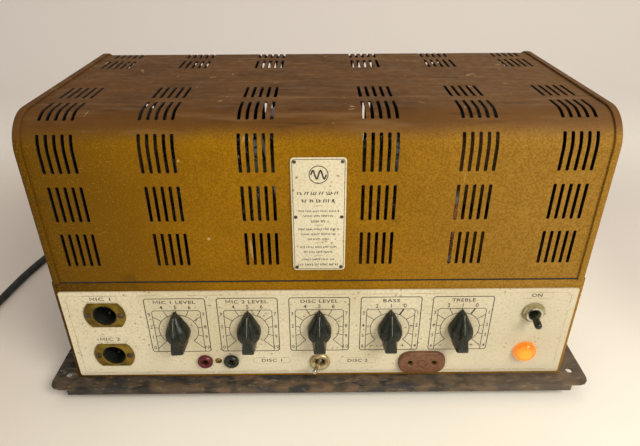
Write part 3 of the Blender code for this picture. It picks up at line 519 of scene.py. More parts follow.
def add_loft(bm, rings, place=IDENTITY, ring_closed=False):
    """Join rings of as many points each; close both ends, or join the last to the first."""
    rows = [[bm.verts.new(place @ Vector(point)) for point in ring] for ring in rings]
    pairs = list(zip(rows, rows[1:]))
    if ring_closed:
        pairs.append((rows[-1], rows[0]))
    for first, second in pairs:
        for index in range(len(first)):
            following = (index + 1) % len(first)
            bm.faces.new((first[index], first[following], second[following], second[index]))
    if not ring_closed:
        bm.faces.new(rows[0])
        bm.faces.new(rows[-1])


def circle(radius, height, steps):
    angles = [2 * pi * step / steps for step in range(steps)]
    return [(radius * cos(angle), radius * sin(angle), height) for angle in angles]


def add_rings(bm, profile, steps, place=IDENTITY, ring_closed=False):
    """Loft circles given as (radius, height) pairs, with no rounding."""
    add_loft(bm, [circle(radius, height, steps) for radius, height in profile], place, ring_closed)


def filleted(points, radius, steps=3):
    """Round the inner corners of an open outline of pairs."""
    rounded = [points[0]]
    for before, corner, after in zip(points, points[1:], points[2:]):
        before, corner, after = Vector(before), Vector(corner), Vector(after)
        reach = min(radius, (before - corner).length * 0.48, (after - corner).length * 0.48)
        first = corner + (before - corner).normalized() * reach
        last = corner + (after - corner).normalized() * reach
        for step in range(steps + 1):
            t = step / steps
            rounded.append(tuple(first * (1 - t) ** 2 + corner * 2 * t * (1 - t) + last * t * t))
    rounded.append(points[-1])
    return rounded


def add_turned(bm, profile, place, steps, fillet=0.0004):
    """Add a turned body from (radius, height) pairs, its corners rounded."""
    if fillet:
        profile = filleted(profile, fillet)
    add_rings(bm, [(max(radius, AXIS_RADIUS), height) for radius, height in profile], steps, place)


def turned(name, profile, finish_name, place, slot, body=ROOT, replaces=(), steps=40, fillet=0.0004):
    bm = bmesh.new()
    add_turned(bm, profile, place, steps, fillet)
    return new_piece(name, bm, finish_name, slot, body, replaces)


def ring_piece(name, profile, steps, place, finish_name, slot, **options):
    """Piece turned from a profile that goes all the way round its section."""
    bm = bmesh.new()
    add_rings(bm, profile, steps, place, ring_closed=True)
    return new_piece(name, bm, finish_name, slot, **options)


def rounded_outline(half_width, half_height, radius, steps=6):
    """Rectangle with round corners, as pairs."""
    outline = []
    for quarter, (side_x, side_y) in enumerate(((1, 1), (-1, 1), (-1, -1), (1, -1))):
        for step in range(steps + 1):
            angle = (quarter + step / steps) * pi / 2
            outline.append((side_x * (half_width - radius) + radius * cos(angle),
                            side_y * (half_height - radius) + radius * sin(angle)))
    return outline


def add_plate(bm, outline_at, low, high, edge, place):
    """Add a plate with rounded front edges; outline_at(inset) gives its outline."""
    rings = [[(x, y, low) for x, y in outline_at(0.0)]]
    for step in range(4):
        angle = step * pi / 6
        inset = edge * (1 - cos(angle))
        rings.append([(x, y, high - edge * (1 - sin(angle))) for x, y in outline_at(inset)])
    add_loft(bm, rings, place)


def add_mesh(bm, mesh, place):
    """Append a copy of a mesh, moved to a place."""
    start = len(bm.verts)
    bm.from_mesh(mesh)
    bm.verts.ensure_lookup_table()
    bmesh.ops.transform(bm, matrix=place, verts=bm.verts[start:])


def add_box(bm, low, high, place=IDENTITY):
    (x0, y0, z0), (x1, y1, z1) = low, high
    rings = [[(x0, y0, z), (x1, y0, z), (x1, y1, z), (x0, y1, z)] for z in (z0, z1)]
    add_loft(bm, rings, place)


def temporary(bm):
    """A throwaway object for a Boolean."""
    bmesh.ops.recalc_face_normals(bm, faces=bm.faces)
    mesh = bpy.data.meshes.new("temporary")
    bm.to_mesh(mesh)
    bm.free()
    thing = bpy.data.objects.new("temporary", mesh)
    bpy.context.scene.collection.objects.link(thing)
    return thing


def carve(solid, *tools, operation="DIFFERENCE"):
    """Boolean a bmesh with others and return the result as a mesh."""
    thing = temporary(solid)
    cutters = [temporary(tool) for tool in tools]
    for tool in cutters:
        step = thing.modifiers.new("Boolean", "BOOLEAN")
        step.operation = operation
        step.solver = "EXACT"
        step.object = tool
    evaluated = thing.evaluated_get(bpy.context.evaluated_depsgraph_get())
    result = bpy.data.meshes.new_from_object(evaluated)
    for leftover in (thing, *cutters):
        bpy.data.objects.remove(leftover, do_unlink=True)
    return result


def carved(solid, *tools, operation="DIFFERENCE"):
    """The same as carve, as a bmesh."""
    bm = bmesh.new()
    bm.from_mesh(carve(solid, *tools, operation=operation))
    return bm


def refined(node, finish_name, width, slot):
    """Copy a flat-sided CAD node with its sharp edges rounded, and show it instead."""
    bm = bmesh.new()
    bm.from_mesh(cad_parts[node].data)
    bmesh.ops.remove_doubles(bm, verts=bm.verts, dist=0.00002)
    bmesh.ops.dissolve_limit(bm, angle_limit=radians(1), verts=bm.verts, edges=bm.edges)
    piece = new_piece(f"{node}_skin", bm, finish_name, slot, replaces=(node,))
    bevel = piece.modifiers.new("Fillet", "BEVEL")
    bevel.width = width
    bevel.segments = 2
    bevel.limit_method = "ANGLE"
    bevel.angle_limit = radians(40)


def round_curve(name, kind, points, radius, resolution, finish_name):
    """Riding curve of one spline, with a round section and closed ends."""
    data = bpy.data.curves.new(name, "CURVE")
    data.dimensions = "3D"
    data.bevel_depth = radius
    data.bevel_resolution = resolution
    data.use_fill_caps = True
    spline = data.splines.new(kind)
    if kind == "POLY":
        spline.points.add(len(points) - 1)
        for knot, point in zip(spline.points, points):
            knot.co = (*point, 1.0)
        spline.use_smooth = True
    else:
        spline.bezier_points.add(len(points) - 1)
        for knot, point in zip(spline.bezier_points, points):
            knot.co = point
            knot.handle_left_type = knot.handle_right_type = "AUTO"
    data.materials.append(finish(finish_name))
    wire = bpy.data.objects.new(name, data)
    bpy.context.scene.collection.objects.link(wire)
    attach(wire, ROOT)
    return wire


def screw_mesh(radius, height, slot_width):
    """Round-headed slotted screw, standing on local Z = 0."""
    head = bmesh.new()
    dome = [(radius, -0.0002), (radius, height * 0.25)]
    for step in range(1, 6):
        angle = step * pi / 10
        dome.append((radius * cos(angle), height * (0.25 + 0.75 * sin(angle))))
    dome[-1] = (radius * 0.05, height)
    add_rings(head, dome, 24)
    groove = bmesh.new()
    reach, half = radius * 1.2, slot_width / 2
    add_box(groove, (-reach, -half, height * 0.45), (reach, half, height * 1.5))
    return carve(head, groove)


# Mains lead ---------------------------------------------------------------------
CORD_RADIUS = 0.0036
FLOOR = CORD_RADIUS + 0.0002
COIL_CENTRE = Vector((-0.3716, -0.046, 0.0))
COIL_RADIUS = 0.040
TAIL_LENGTH = 0.040
PLUG_HEIGHT = 0.0180
CORD_ROUTE = (
    (-0.1500, 0.1263, 0.0460), (-0.1500, 0.1420, 0.0452), (-0.1508, 0.1570, 0.0405),
    (-0.1530, 0.1710, 0.0318), (-0.1575, 0.1840, 0.0215), (-0.1650, 0.1950, 0.0125),
    (-0.1770, 0.2035, 0.0065), (-0.1930, 0.2075, 0.0042), (-0.2110, 0.2060, FLOOR),
    (-0.2320, 0.1985, FLOOR), (-0.2530, 0.1855, FLOOR), (-0.2720, 0.1680, FLOOR),
    (-0.2880, 0.1460, FLOOR), (-0.3005, 0.1210, FLOOR), (-0.3095, 0.0930, FLOOR),
    (-0.3160, 0.0630, FLOOR), (-0.3200, 0.0320, FLOOR), (-0.3225, 0.0020, FLOOR),
    (-0.3240, -0.0240, FLOOR), (-0.3244, -0.0457, FLOOR))


def smoothstep(value):
    t = min(1.0, max(0.0, value))
    return t * t * (3 - 2 * t)


def free_stretch():
    """Smooth curve through the route, from the gland to the coil."""
    points = [Vector(point) for point in CORD_ROUTE]
    points = [2 * points[0] - points[1], *points, 2 * points[-1] - points[-2]]
    curve = []
    for first, second, third, fourth in zip(points, points[1:], points[2:], points[3:]):
        for step in range(5):
            t = step / 5
            curve.append(0.5 * (2 * second + (third - first) * t
                                + (2 * first - 5 * second + 4 * third - fourth) * t ** 2
                                + (3 * second - 3 * third + fourth - first) * t ** 3))
    return curve


def coil_turns():
    """Five and a half turns: three inwards on the table, then three outwards on top."""
    pitch = 2 * CORD_RADIUS
    lower = [(COIL_RADIUS + pitch * k, CORD_RADIUS) for k in (1, 0, -1)]
    lanes = lower + [(radius, height + pitch) for radius, height in reversed(lower)]
    shift = radians(24)
    per_turn = 48
    points = []
    for step in range(int(per_turn * 5.5) + 1):
        angle = 2 * pi * step / per_turn
        radius, height = lanes[0]
        for change in range(1, len(lanes)):
            start = 2 * pi * change - change * shift
            share = smoothstep((angle - start) / shift)
            radius += share * (lanes[change][0] - lanes[change - 1][0])
            height += share * (lanes[change][1] - lanes[change - 1][1])
        points.append(COIL_CENTRE + Vector((radius * cos(angle), -radius * sin(angle), height)))
    return points


def tail(start):
    """Last stretch, from the coil up to the plug's axis."""
    points = []
    for step in range(1, 11):
        t = step / 10
        height = start.z + smoothstep(t) * (PLUG_HEIGHT - start.z)
        points.append(Vector((start.x, start.y + GAP + t * TAIL_LENGTH, height)))
    return points


def mains_plug(end):
    """Round two-pin plug with finger ribs, in line with the end of the lead."""
    place = Matrix.Translation(end) @ TOWARDS_REAR
    bm = bmesh.new()
    profile = [(0.0, -0.0002), (0.0052, -0.0002), (0.0060, 0.0010), (0.0080, 0.0085), (0.0120, 0.0120),
               (0.0160, 0.0155), (0.0177, 0.0200), (0.0177, 0.0325), (0.0168, 0.0340), (0.0, 0.0340)]
    rings = []
    for radius, height in filleted(profile, 0.0008):
        grip = 0.0006 if 0.019 < height < 0.0325 else 0.0
        ring = []
        for step in range(72):
            angle = 2 * pi * step / 72
            reach = max(radius, AXIS_RADIUS) - grip * (0.5 - 0.5 * cos(18 * angle))
            ring.append((reach * cos(angle), reach * sin(angle), height))
        rings.append(ring)
    add_loft(bm, rings, place)
    plug = new_piece("plug_body", bm, "bakelite", "bakelite", replaces=("mains_plug",), smooth=50)
    pins = bmesh.new()
    for side in (-1, 1):
        pin = [(0.0, 0.033), (0.0020, 0.033), (0.0020, 0.0520), (0.0012, 0.0530), (0.0, 0.0530)]
        add_turned(pins, pin, place @ Matrix.Translation((side * PIN_OFFSET, 0.0, 0.0)), 20)
    return plug, new_piece("plug_pins", pins, "brass", "brass")


def strain_relief():
    """Ribbed rubber sleeve that the lead leaves by."""
    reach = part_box("cord_gland")[1].y - REAR
    profile = [(0.0, -0.0060), (0.0088, -0.0060), (0.0088, -0.0019), (0.0071, -0.0019), (0.0071, 0.0004),
               (0.0104, 0.0004), (0.0104, 0.0030), (0.0078, 0.0040)]
    ribs = 5
    for rib in range(ribs):
        start = 0.0050 + rib * (reach - 0.0070) / ribs
        radius = 0.0076 - 0.0028 * rib / ribs
        profile += [(radius - 0.0009, start), (radius - 0.0009, start + 0.0012),
                    (radius, start + 0.0016), (radius, start + 0.0032)]
    profile += [(0.0046, reach - 0.0008), (0.0042, reach), (0.0, reach)]
    return turned("strain_relief", profile, "rubber", rear_of("cord_gland"), "rubber",
                  replaces=("cord_gland",), fillet=0.0003)


def coil_tie():
    """Strap round the bundle of turns."""
    half_width, half_height = 3 * CORD_RADIUS + 0.0008, 2 * CORD_RADIUS + 0.0003
    place = Matrix.Translation(COIL_CENTRE + Vector((0.0, -COIL_RADIUS, 2 * CORD_RADIUS + 0.0003)))
    bm = bmesh.new()
    turn = Matrix.Rotation(radians(90), 4, "Z") @ Matrix.Rotation(radians(90), 4, "X")
    sections = ((0.0, -0.004), (0.0007, -0.004), (0.0007, 0.004), (0.0, 0.004))
    rings = []
    for inset, along in sections:
        outline = rounded_outline(half_width - 0.0007 + inset, half_height - 0.0007 + inset, 0.003)
        rings.append([(x, y, along) for x, y in outline])
    add_loft(bm, rings, place @ turn, ring_closed=True)
    return new_piece("coil_tie", bm, "rubber", "rubber")


def mains_lead():
    """The whole lead as one curve, with its plug, strain relief and tie."""
    wound = coil_turns()
    last = tail(wound[-1])
    points = free_stretch() + wound + last
    lead = round_curve("mains_lead", "POLY", points, CORD_RADIUS, 4, "rubber")
    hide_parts("mains_cord", "cord_coil", "cord_tail")
    plug, pins = mains_plug(points[-1])
    sleeve = strain_relief()
    tie = coil_tie()


# Ventilated cover -----------------------------------------------------------------
COVER_LOW, COVER_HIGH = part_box("cover_wrap")
COVER_TOP = COVER_HIGH.z
COVER_CORNER = 0.023
COVER_SHEET = 0.0012
END_FLANGE = 0.0048
SLOT_WIDTH = 0.0023
SLOT_PITCH = 0.00532
SLOT_LENGTH = 0.0266
SLOTS_PER_GROUP = 5
SLOT_COLUMNS = (0.0403, 0.1038, 0.168)
SLOT_CORNER = 0.0008
ROW_START = 0.0140
ROW_PITCH = 0.0361
ROWS_BEFORE_MIDDLE = 5
UPRIGHT = COVER_TOP - COVER_CORNER - COVER_LOW.z
BEND = pi / 2 * COVER_CORNER
COVER_DEPTH = COVER_HIGH.y - COVER_LOW.y
COVER_LENGTH = 2 * UPRIGHT + 2 * BEND + COVER_DEPTH - 2 * COVER_CORNER
BEND_STEPS = 14
SAME = 1e-6


def cover_point(along, offset):
    """Map a place along the unrolled cover sheet to (y, z), offset outwards."""
    if along > COVER_LENGTH / 2:
        y, z = cover_point(COVER_LENGTH - along, offset)
        return COVER_LOW.y + COVER_HIGH.y - y, z
    if along <= UPRIGHT:
        return COVER_LOW.y - offset, COVER_LOW.z + along
    if along <= UPRIGHT + BEND:
        angle = (along - UPRIGHT) / COVER_CORNER
        reach = COVER_CORNER + offset
        return (COVER_LOW.y + COVER_CORNER - reach * cos(angle),
                COVER_LOW.z + UPRIGHT + reach * sin(angle))
    return COVER_LOW.y + COVER_CORNER + along - UPRIGHT - BEND, COVER_TOP + offset


def bend_places():
    """Places along the sheet that need a row of points for the two bends."""
    front = [UPRIGHT + BEND * step / BEND_STEPS for step in range(BEND_STEPS + 1)]
    return front + [COVER_LENGTH - place for place in reversed(front)]


def slot_rows():
    """Start and end of each row of slots along the unrolled sheet."""
    front_half = [ROW_START + row * ROW_PITCH for row in range(ROWS_BEFORE_MIDDLE)]
    starts = front_half + [COVER_LENGTH - start - SLOT_LENGTH for start in reversed(front_half)]
    return [(start, start + SLOT_LENGTH) for start in starts]


def slot_columns():
    """Left and right side of every slot."""
    columns = []
    for middle in sorted([-x for x in SLOT_COLUMNS] + list(SLOT_COLUMNS)):
        for number in range(SLOTS_PER_GROUP):
            x = middle + (number - (SLOTS_PER_GROUP - 1) / 2) * SLOT_PITCH
            columns.append((x - SLOT_WIDTH / 2, x + SLOT_WIDTH / 2))
    return columns


def unique(values):
    """Sorted values, each kept once."""
    kept = []
    for value in sorted(values):
        if not kept or value - kept[-1] > SAME:
            kept.append(value)
    return kept


def cover_sheet():
    """Slotted sheet with round-cornered slots, bent over front, top and rear."""
    half_width = COVER_HIGH.x
    columns, rows = slot_columns(), slot_rows()
    corner = SLOT_CORNER
    xs = unique([-half_width, half_width]
                + [x for low, high in columns for x in (low, low + corner, high - corner, high)])
    places = unique([0.0, COVER_LENGTH] + bend_places()
                    + [s for low, high in rows for s in (low, low + corner, high - corner, high)])

    def within(value, spans):
        return next(((low, high) for low, high in spans if low < value < high), None)

    bm = bmesh.new()
    flat = {}

    def vertex(x, along):
        key = (round(x, 7), round(along, 7))
        if key not in flat:
            flat[key] = bm.verts.new((x, along, 0.0))
        return flat[key]

    def corner_fan(x0, x1, s0, s1, column, row):
        """Solid sliver outside the rounded corner of one slot."""
        left, low = x0 == column[0], s0 == row[0]
        tip = (x0 if left else x1, s0 if low else s1)
        middle = (x1 if left else x0, s1 if low else s0)
        arc_points = []
        for step in range(4):
            angle = step * pi / 6
            arc_points.append((middle[0] + (tip[0] - middle[0]) * sin(angle),
                               middle[1] + (tip[1] - middle[1]) * cos(angle)))
        for first, second in zip(arc_points, arc_points[1:]):
            bm.faces.new((vertex(*tip), vertex(*first), vertex(*second)))

    for x0, x1 in zip(xs, xs[1:]):
        column = within((x0 + x1) / 2, columns)
        for s0, s1 in zip(places, places[1:]):
            row = within((s0 + s1) / 2, rows)
            if not (column and row):
                bm.faces.new((vertex(x0, s0), vertex(x1, s0), vertex(x1, s1), vertex(x0, s1)))
            elif (x0 == column[0] or x1 == column[1]) and (s0 == row[0] or s1 == row[1]):
                corner_fan(x0, x1, s0, s1, column, row)
    bmesh.ops.recalc_face_normals(bm, faces=bm.faces)
    outer = list(bm.faces)
    if outer[0].normal.z < 0:
        bmesh.ops.reverse_faces(bm, faces=outer)
    rim = [edge for edge in bm.edges if len(edge.link_faces) == 1]
    copied = bmesh.ops.duplicate(bm, geom=list(bm.verts) + list(bm.edges) + outer)
    inner = [item for item in copied["geom"] if isinstance(item, bmesh.types.BMFace)]
    pairs = copied["vert_map"]
    bmesh.ops.reverse_faces(bm, faces=inner)
    for face in inner:
        face.material_index = 1
        for vert in face.verts:
            vert.co.z = -COVER_SHEET
    for edge in rim:
        first, second = edge.verts
        wall = bm.faces.new((first, second, pairs[second], pairs[first]))
        wall.material_index = 1
    for vert in bm.verts:
        vert.co = (vert.co.x, *cover_point(vert.co.y, vert.co.z))
    return new_piece("slotted_cover", bm, ("gold_enamel", "inner_shade"), "gold_enamel",
                     replaces=("cover_wrap",), smooth=30)


def cover_cap(node, side):
    """End cap with a rounded edge and a flange that laps over the slotted sheet."""
    low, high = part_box(node)
    outside = high.x if side > 0 else -low.x
    places = [0.0, *bend_places(), COVER_LENGTH]
    top = GAP + COVER_SHEET
    edge = outside - END_FLANGE
    section = [(outside, top), (edge, top), (edge, GAP), (outside - COVER_SHEET, GAP)]
    section = filleted([(outside, top - 0.008), *section[:3]], 0.0011, 4) + [section[3]]
    bm = bmesh.new()
    rows = []
    for x, offset in section:
        rows.append([bm.verts.new((side * x, *cover_point(along, offset))) for along in places])
    for first, second in zip(rows, rows[1:]):
        for index in range(len(places) - 1):
            bm.faces.new((first[index], first[index + 1], second[index + 1], second[index]))
    inner_face = bm.faces.new(rows[-1])
    inner_face.material_index = 1
    bm.faces.new(rows[0])
    bm.faces.new([row[0] for row in rows] + [row[-1] for row in reversed(rows)])
    new_piece(f"{node}_skin", bm, ("gold_enamel", "inner_shade"), "gold_enamel", replaces=(node,), smooth=30)


def cover_details():
    """Screws that hold the cover, and a thin black strip below its front and rear edges that paints the
    shadow in the seam.
    """
    # Painted shade: a thin black strip along the front and rear seams stands in for the shadow between the
    # cover and the chassis.
    strip = bmesh.new()
    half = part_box("chassis")[1].x - 0.0012
    for outside, inside in ((FRONT - 0.00012, FRONT + 0.0010), (REAR + 0.00012, REAR - 0.0010)):
        low, high = sorted((outside, inside))
        add_box(strip, (-half, low, DECK - 0.00045), (half, high, DECK + 0.00075))
    new_piece("seam_shadow_strip", strip, "inner_black", "rubber")
    bm = bmesh.new()
    head = screw_mesh(0.0034, 0.0018, 0.0009)
    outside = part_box("cover_end_right")[1].x
    for side in (-1, 1):
        facing = Matrix.Rotation(side * radians(90), 4, "Y")
        for y in (COVER_LOW.y + 0.022, COVER_HIGH.y - 0.022):
            place = Matrix.Translation((side * outside, y, COVER_LOW.z + 0.009))
            add_mesh(bm, head, place @ facing @ Matrix.Rotation(radians(31 * side + 400 * y), 4, "Z"))
    new_piece("cover_screws", bm, "dark_screw", "steel")


RIVET_INSET = 0.0028


def nameplate():
    """Cream plate with a ruled border, a plain wave in a ring, blank text lines and six rivets."""
    low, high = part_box("nameplate")
    half_width, half_height = (high.x - low.x) / 2, (high.z - low.z) / 2
    place = front_of("nameplate")
    thickness = FRONT - low.y

    def outline(inset):
        return rounded_outline(half_width - inset, half_height - inset, 0.0025 - inset)

    bm = bmesh.new()
    add_plate(bm, outline, GAP, thickness, 0.0003, place)
    new_piece("nameplate_skin", bm, "panel_cream", "panel_finish", replaces=("nameplate",))
    rivets = bmesh.new()
    rivet_x, rivet_z = half_width - RIVET_INSET, half_height - RIVET_INSET
    for x in (-rivet_x, rivet_x):
        for z in (-rivet_z, 0.0, rivet_z):
            head = [(0.0, thickness), (0.00125, thickness), (0.0011, thickness + 0.0004),
                    (0.0006, thickness + 0.0007), (0.0, thickness + 0.00075)]
            add_turned(rivets, head, place @ Matrix.Translation((x, z, 0.0)), 16, 0.0001)
    new_piece("nameplate_rivets", rivets, "dark_screw", "steel")

    ink = bmesh.new()
    face = front_of("nameplate", low.y)
    border = rounded_outline(half_width - 0.0012, half_height - 0.0012, 0.0016)
    add_stroke(ink, border, 0.00036, face, closed=True)
    emblem_z = half_height - 0.0120
    ring = [(x, emblem_z + z) for x, z, _ in circle(0.0062, 0.0, 40)]
    add_stroke(ink, ring, 0.00060, face, closed=True)
    wave = [(-0.0050 + 0.010 * k / 24, emblem_z + 0.0030 * sin(k * pi / 6)) for k in range(25)]
    add_stroke(ink, wave, 0.0011, face)
    draw = random.Random(4)
    lines = ((24.0, 28, 2.2), (29.6, 22, 2.4), (37.4, 27, 1.4), (41.2, 20, 1.4), (45.4, 10, 1.7),
             (51.6, 28, 1.4), (55.6, 24, 1.4), (59.6, 15, 1.4), (66.0, 26, 1.4), (70.2, 21, 1.5),
             (76.4, 23, 1.4), (80.8, 29, 1.7))
    text_top = half_height - 1.5 * MM
    for drop, width, height in lines:
        add_blank_text(ink, draw, text_top - drop * MM, width * MM, height * MM, face)
    for drop in (33.4, 48.4, 62.6, 73.2):
        z = text_top - drop * MM
        add_stroke(ink, [(-0.003, z), (0.003, z)], 0.00022, face)
    new_piece("nameplate_print", ink, "print_ink", "panel_finish")


def add_blank_text(bm, draw, z, width, height, place):
    """A row of short upright dabs that fills the place of a line of print."""
    x = -width / 2
    while x < width / 2:
        word = min(draw.uniform(0.0030, 0.0068), width / 2 - x)
        marks = max(2, round(word / (height * 0.72)))
        for mark in range(marks):
            left = x + word * mark / marks
            lean = draw.choice((0.0, 0.0, 0.18, -0.18)) * height
            rise = height / 2
            add_stroke(bm, [(left - lean, z - rise), (left + lean, z + rise)], height * 0.27, place)
            if draw.random() < 0.55:
                bar = z + draw.choice((-rise, 0.0, rise)) * 0.85
                add_stroke(bm, [(left, bar), (left + height * 0.45, bar)], height * 0.24, place)
        x += word + height * 0.5


# Printing on the panel ----------------------------------------------------------
PRINT_DEPTH = 0.00004


def add_stroke(bm, points, width, place, closed=False):
    """Add a thin closed ribbon of ink along points in the place's XY plane."""
    path = [Vector(point) for point in points]
    rings = []
    for index, point in enumerate(path):
        if closed:
            before, after = path[index - 1], path[(index + 1) % len(path)]
        else:
            before, after = path[max(index - 1, 0)], path[min(index + 1, len(path) - 1)]
        incoming, outgoing = (point - before), (after - point)
        incoming = incoming.normalized() if incoming.length else outgoing.normalized()
        outgoing = outgoing.normalized() if outgoing.length else incoming
        along = (incoming + outgoing).normalized()
        across = Vector((-along.y, along.x))
        spread = width / 2 / max(0.4, sqrt(max(0.0, (1 + incoming.dot(outgoing)) / 2)))
        left, right = point + across * spread, point - across * spread
        rings.append([(*left, -PRINT_DEPTH / 2), (*left, PRINT_DEPTH),
                      (*right, PRINT_DEPTH), (*right, -PRINT_DEPTH / 2)])
    add_loft(bm, rings, place, ring_closed=closed)


def add_text(bm, text, x, z, height, place, weight, width=None):
    """Add text as thin raised ink, centred at (x, z) with a given capital height."""
    if text.startswith("M"):
        # The font's M clogs at this size, so it is drawn as four strokes, as wide as it is high.
        left, gap = x - width / 2, 0.42 * height
        corners = ((0.0, -0.5), (0.0, 0.5), (0.5, -0.15), (1.0, 0.5), (1.0, -0.5))
        strokes = [(left + across * height, z + up * height) for across, up in corners]
        add_stroke(bm, strokes, 0.15 * height, place)
        x, width, text = x + (height + gap) / 2, width - height - gap, text[1:]
    data = bpy.data.curves.new("lettering", "FONT")
    data.body = text
    data.extrude = 0.5
    data.resolution_u = 3
    data.offset = weight
    data.space_character = 1.12
    thing = bpy.data.objects.new("lettering", data)
    bpy.context.scene.collection.objects.link(thing)
    bpy.context.view_layer.update()
    mesh = bpy.data.meshes.new_from_object(thing.evaluated_get(bpy.context.evaluated_depsgraph_get()))
    bpy.data.objects.remove(thing, do_unlink=True)
    lows = [min(vert.co[axis] for vert in mesh.vertices) for axis in range(3)]
    highs = [max(vert.co[axis] for vert in mesh.vertices) for axis in range(3)]
    middle = Vector([(low + high) / 2 for low, high in zip(lows, highs)])
    scale = height / (highs[1] - lows[1])
    across = width / (highs[0] - lows[0]) if width else scale * 0.92
    shape = Matrix.Diagonal((across, scale, PRINT_DEPTH * 1.5, 1.0))
    lift = Matrix.Translation((x, z, PRINT_DEPTH / 4))
    add_mesh(bm, mesh, place @ lift @ shape @ Matrix.Translation(-middle))
    bpy.data.meshes.remove(mesh)


DIALS = ("mic_1", "mic_2", "phono", "bass", "treble")
TITLES = {"mic_1": ("MIC 1 LEVEL", 31.0), "mic_2": ("MIC 2 LEVEL", 31.0), "phono": ("DISC LEVEL", 28.0),
          "bass": ("BASS", 12.5), "treble": ("TREBLE", 17.5)}
VOLUME_NUMBERS = {"left": ("3", "2", "1", "0"), "top": ("4", "5", "6"), "right": ("7", "8", "9", "10")}
TONE_NUMBERS = {"left": ("3", "4", "5", "6"), "top": ("2", "1", "0"), "right": ("1", "2", "3", "4")}
BOX_HALF_WIDTH, BOX_TOP, BOX_BOTTOM = 22.7 * MM, 30.2 * MM, -21.3 * MM
INNER_HALF_WIDTH, INNER_TOP = 18.25 * MM, 19.0 * MM
DIAL_ARC = 15.0 * MM
SIDE_HEIGHTS = (15.4 * MM, 3.3 * MM, -6.6 * MM, -17.2 * MM)
TOP_PLACES = (-10.6 * MM, 0.0, 10.5 * MM)
LINE = 0.50 * MM
CAPITAL = 3.0 * MM
TITLE_WEIGHT, NUMBER_WEIGHT = 0.012, 0.008
DIAL_TURN = 270


def dial_place(dial):
    """Middle of a dial on the panel: its shaft's axis."""
    middle = centre(f"shaft_{dial}")
    return middle.x, middle.z


def frame_hit(angle):
    """Where a ray at an angle from upright meets the dial's inner frame."""
    across, up = sin(angle), cos(angle)
    reaches = []
    if abs(across) > 1e-6:
        reaches.append(INNER_HALF_WIDTH / abs(across))
    if up > 1e-6:
        reaches.append(INNER_TOP / up)
    if up < -1e-6:
        reaches.append(-BOX_BOTTOM / -up)
    reach = min(reaches)
    return across * reach, up * reach


def dial_print(bm, dial):
    """Box, scale, title and numbers round one dial."""
    x, z = dial_place(dial)
    place = at_front(x, z, PANEL_FACE)
    middle = (BOX_TOP + BOX_BOTTOM) / 2
    box = rounded_outline(BOX_HALF_WIDTH, (BOX_TOP - BOX_BOTTOM) / 2, 2.0 * MM)
    add_stroke(bm, [(px, pz + middle) for px, pz in box], LINE * 1.25, place, closed=True)
    side, top = INNER_HALF_WIDTH, INNER_TOP
    corner = 1.4 * MM
    inner = [(-side, BOX_BOTTOM), (-side, top - corner), (-side + corner, top),
             (side - corner, top), (side, top - corner), (side, BOX_BOTTOM)]
    add_stroke(bm, inner, LINE, place)
    arc_points = []
    for step in range(61):
        angle = radians(DIAL_TURN * (step / 60 - 0.5))
        arc_points.append((DIAL_ARC * sin(angle), DIAL_ARC * cos(angle)))
    add_stroke(bm, arc_points, LINE, place)
    tone = dial in ("bass", "treble")
    for step in range(11):
        angle = radians(DIAL_TURN * (step / 10 - 0.5))
        start = (DIAL_ARC * sin(angle), DIAL_ARC * cos(angle))
        width = LINE * (2.4 if tone and step == 6 else 1.0)
        add_stroke(bm, [start, frame_hit(angle)], width, place)
    title, width = TITLES[dial]
    add_text(bm, title, 0.0, 26.9 * MM, CAPITAL, place, TITLE_WEIGHT, width * MM)
    numbers = TONE_NUMBERS if tone else VOLUME_NUMBERS
    for number, px in zip(numbers["top"], TOP_PLACES):
        add_text(bm, number, px, 22.1 * MM, 3.5 * MM, place, NUMBER_WEIGHT)
    for sign, side_name in ((-1, "left"), (1, "right")):
        for number, pz in zip(numbers[side_name], SIDE_HEIGHTS):
            width = 3.6 * MM if number == "10" else None
            add_text(bm, number, sign * 20.5 * MM, pz, 3.2 * MM, place, NUMBER_WEIGHT, width)
    if tone:
        add_stroke(bm, [(-14.8 * MM, -17 * MM), (-12.2 * MM, -17 * MM)], LINE, place)
        add_stroke(bm, [(9.7 * MM, -17 * MM), (12.3 * MM, -17 * MM)], LINE, place)
        add_stroke(bm, [(11 * MM, -18.3 * MM), (11 * MM, -15.7 * MM)], LINE, place)


def panel_print():
    """All the dark print, and the faint borders round the labels and the panel."""
    bm = bmesh.new()
    for dial in DIALS:
        dial_print(bm, dial)
    flat = at_front(0.0, 0.0, PANEL_FACE)
    labels = labels_on_panel()
    for text, x, z, width, _ in labels:
        add_text(bm, text, x, z, CAPITAL, flat, TITLE_WEIGHT, width)
    new_piece("panel_print", bm, "print_ink", "panel_finish", smooth=30)

    faint = bmesh.new()
    inset, chamfer = 4.6 * MM, 3.0 * MM
    left, right = PANEL_LOW.x + inset, PANEL_HIGH.x - inset
    low, high = PANEL_LOW.z + 0.6 * inset, PANEL_HIGH.z - 0.75 * inset
    border = [(left + chamfer, low), (right - chamfer, low), (right, low + chamfer), (right, high - chamfer),
              (right - chamfer, high), (left + chamfer, high), (left, high - chamfer), (left, low + chamfer)]
    add_stroke(faint, border, 0.35 * MM, flat, closed=True)
    for text, x, z, width, box_width in labels:
        shape = rounded_outline(box_width / 2, 2.9 * MM, 2.2 * MM)
        add_stroke(faint, [(x + px, z + pz) for px, pz in shape], 0.28 * MM, flat, closed=True)
    new_piece("panel_border", faint, "brown_line", "panel_finish", smooth=30)


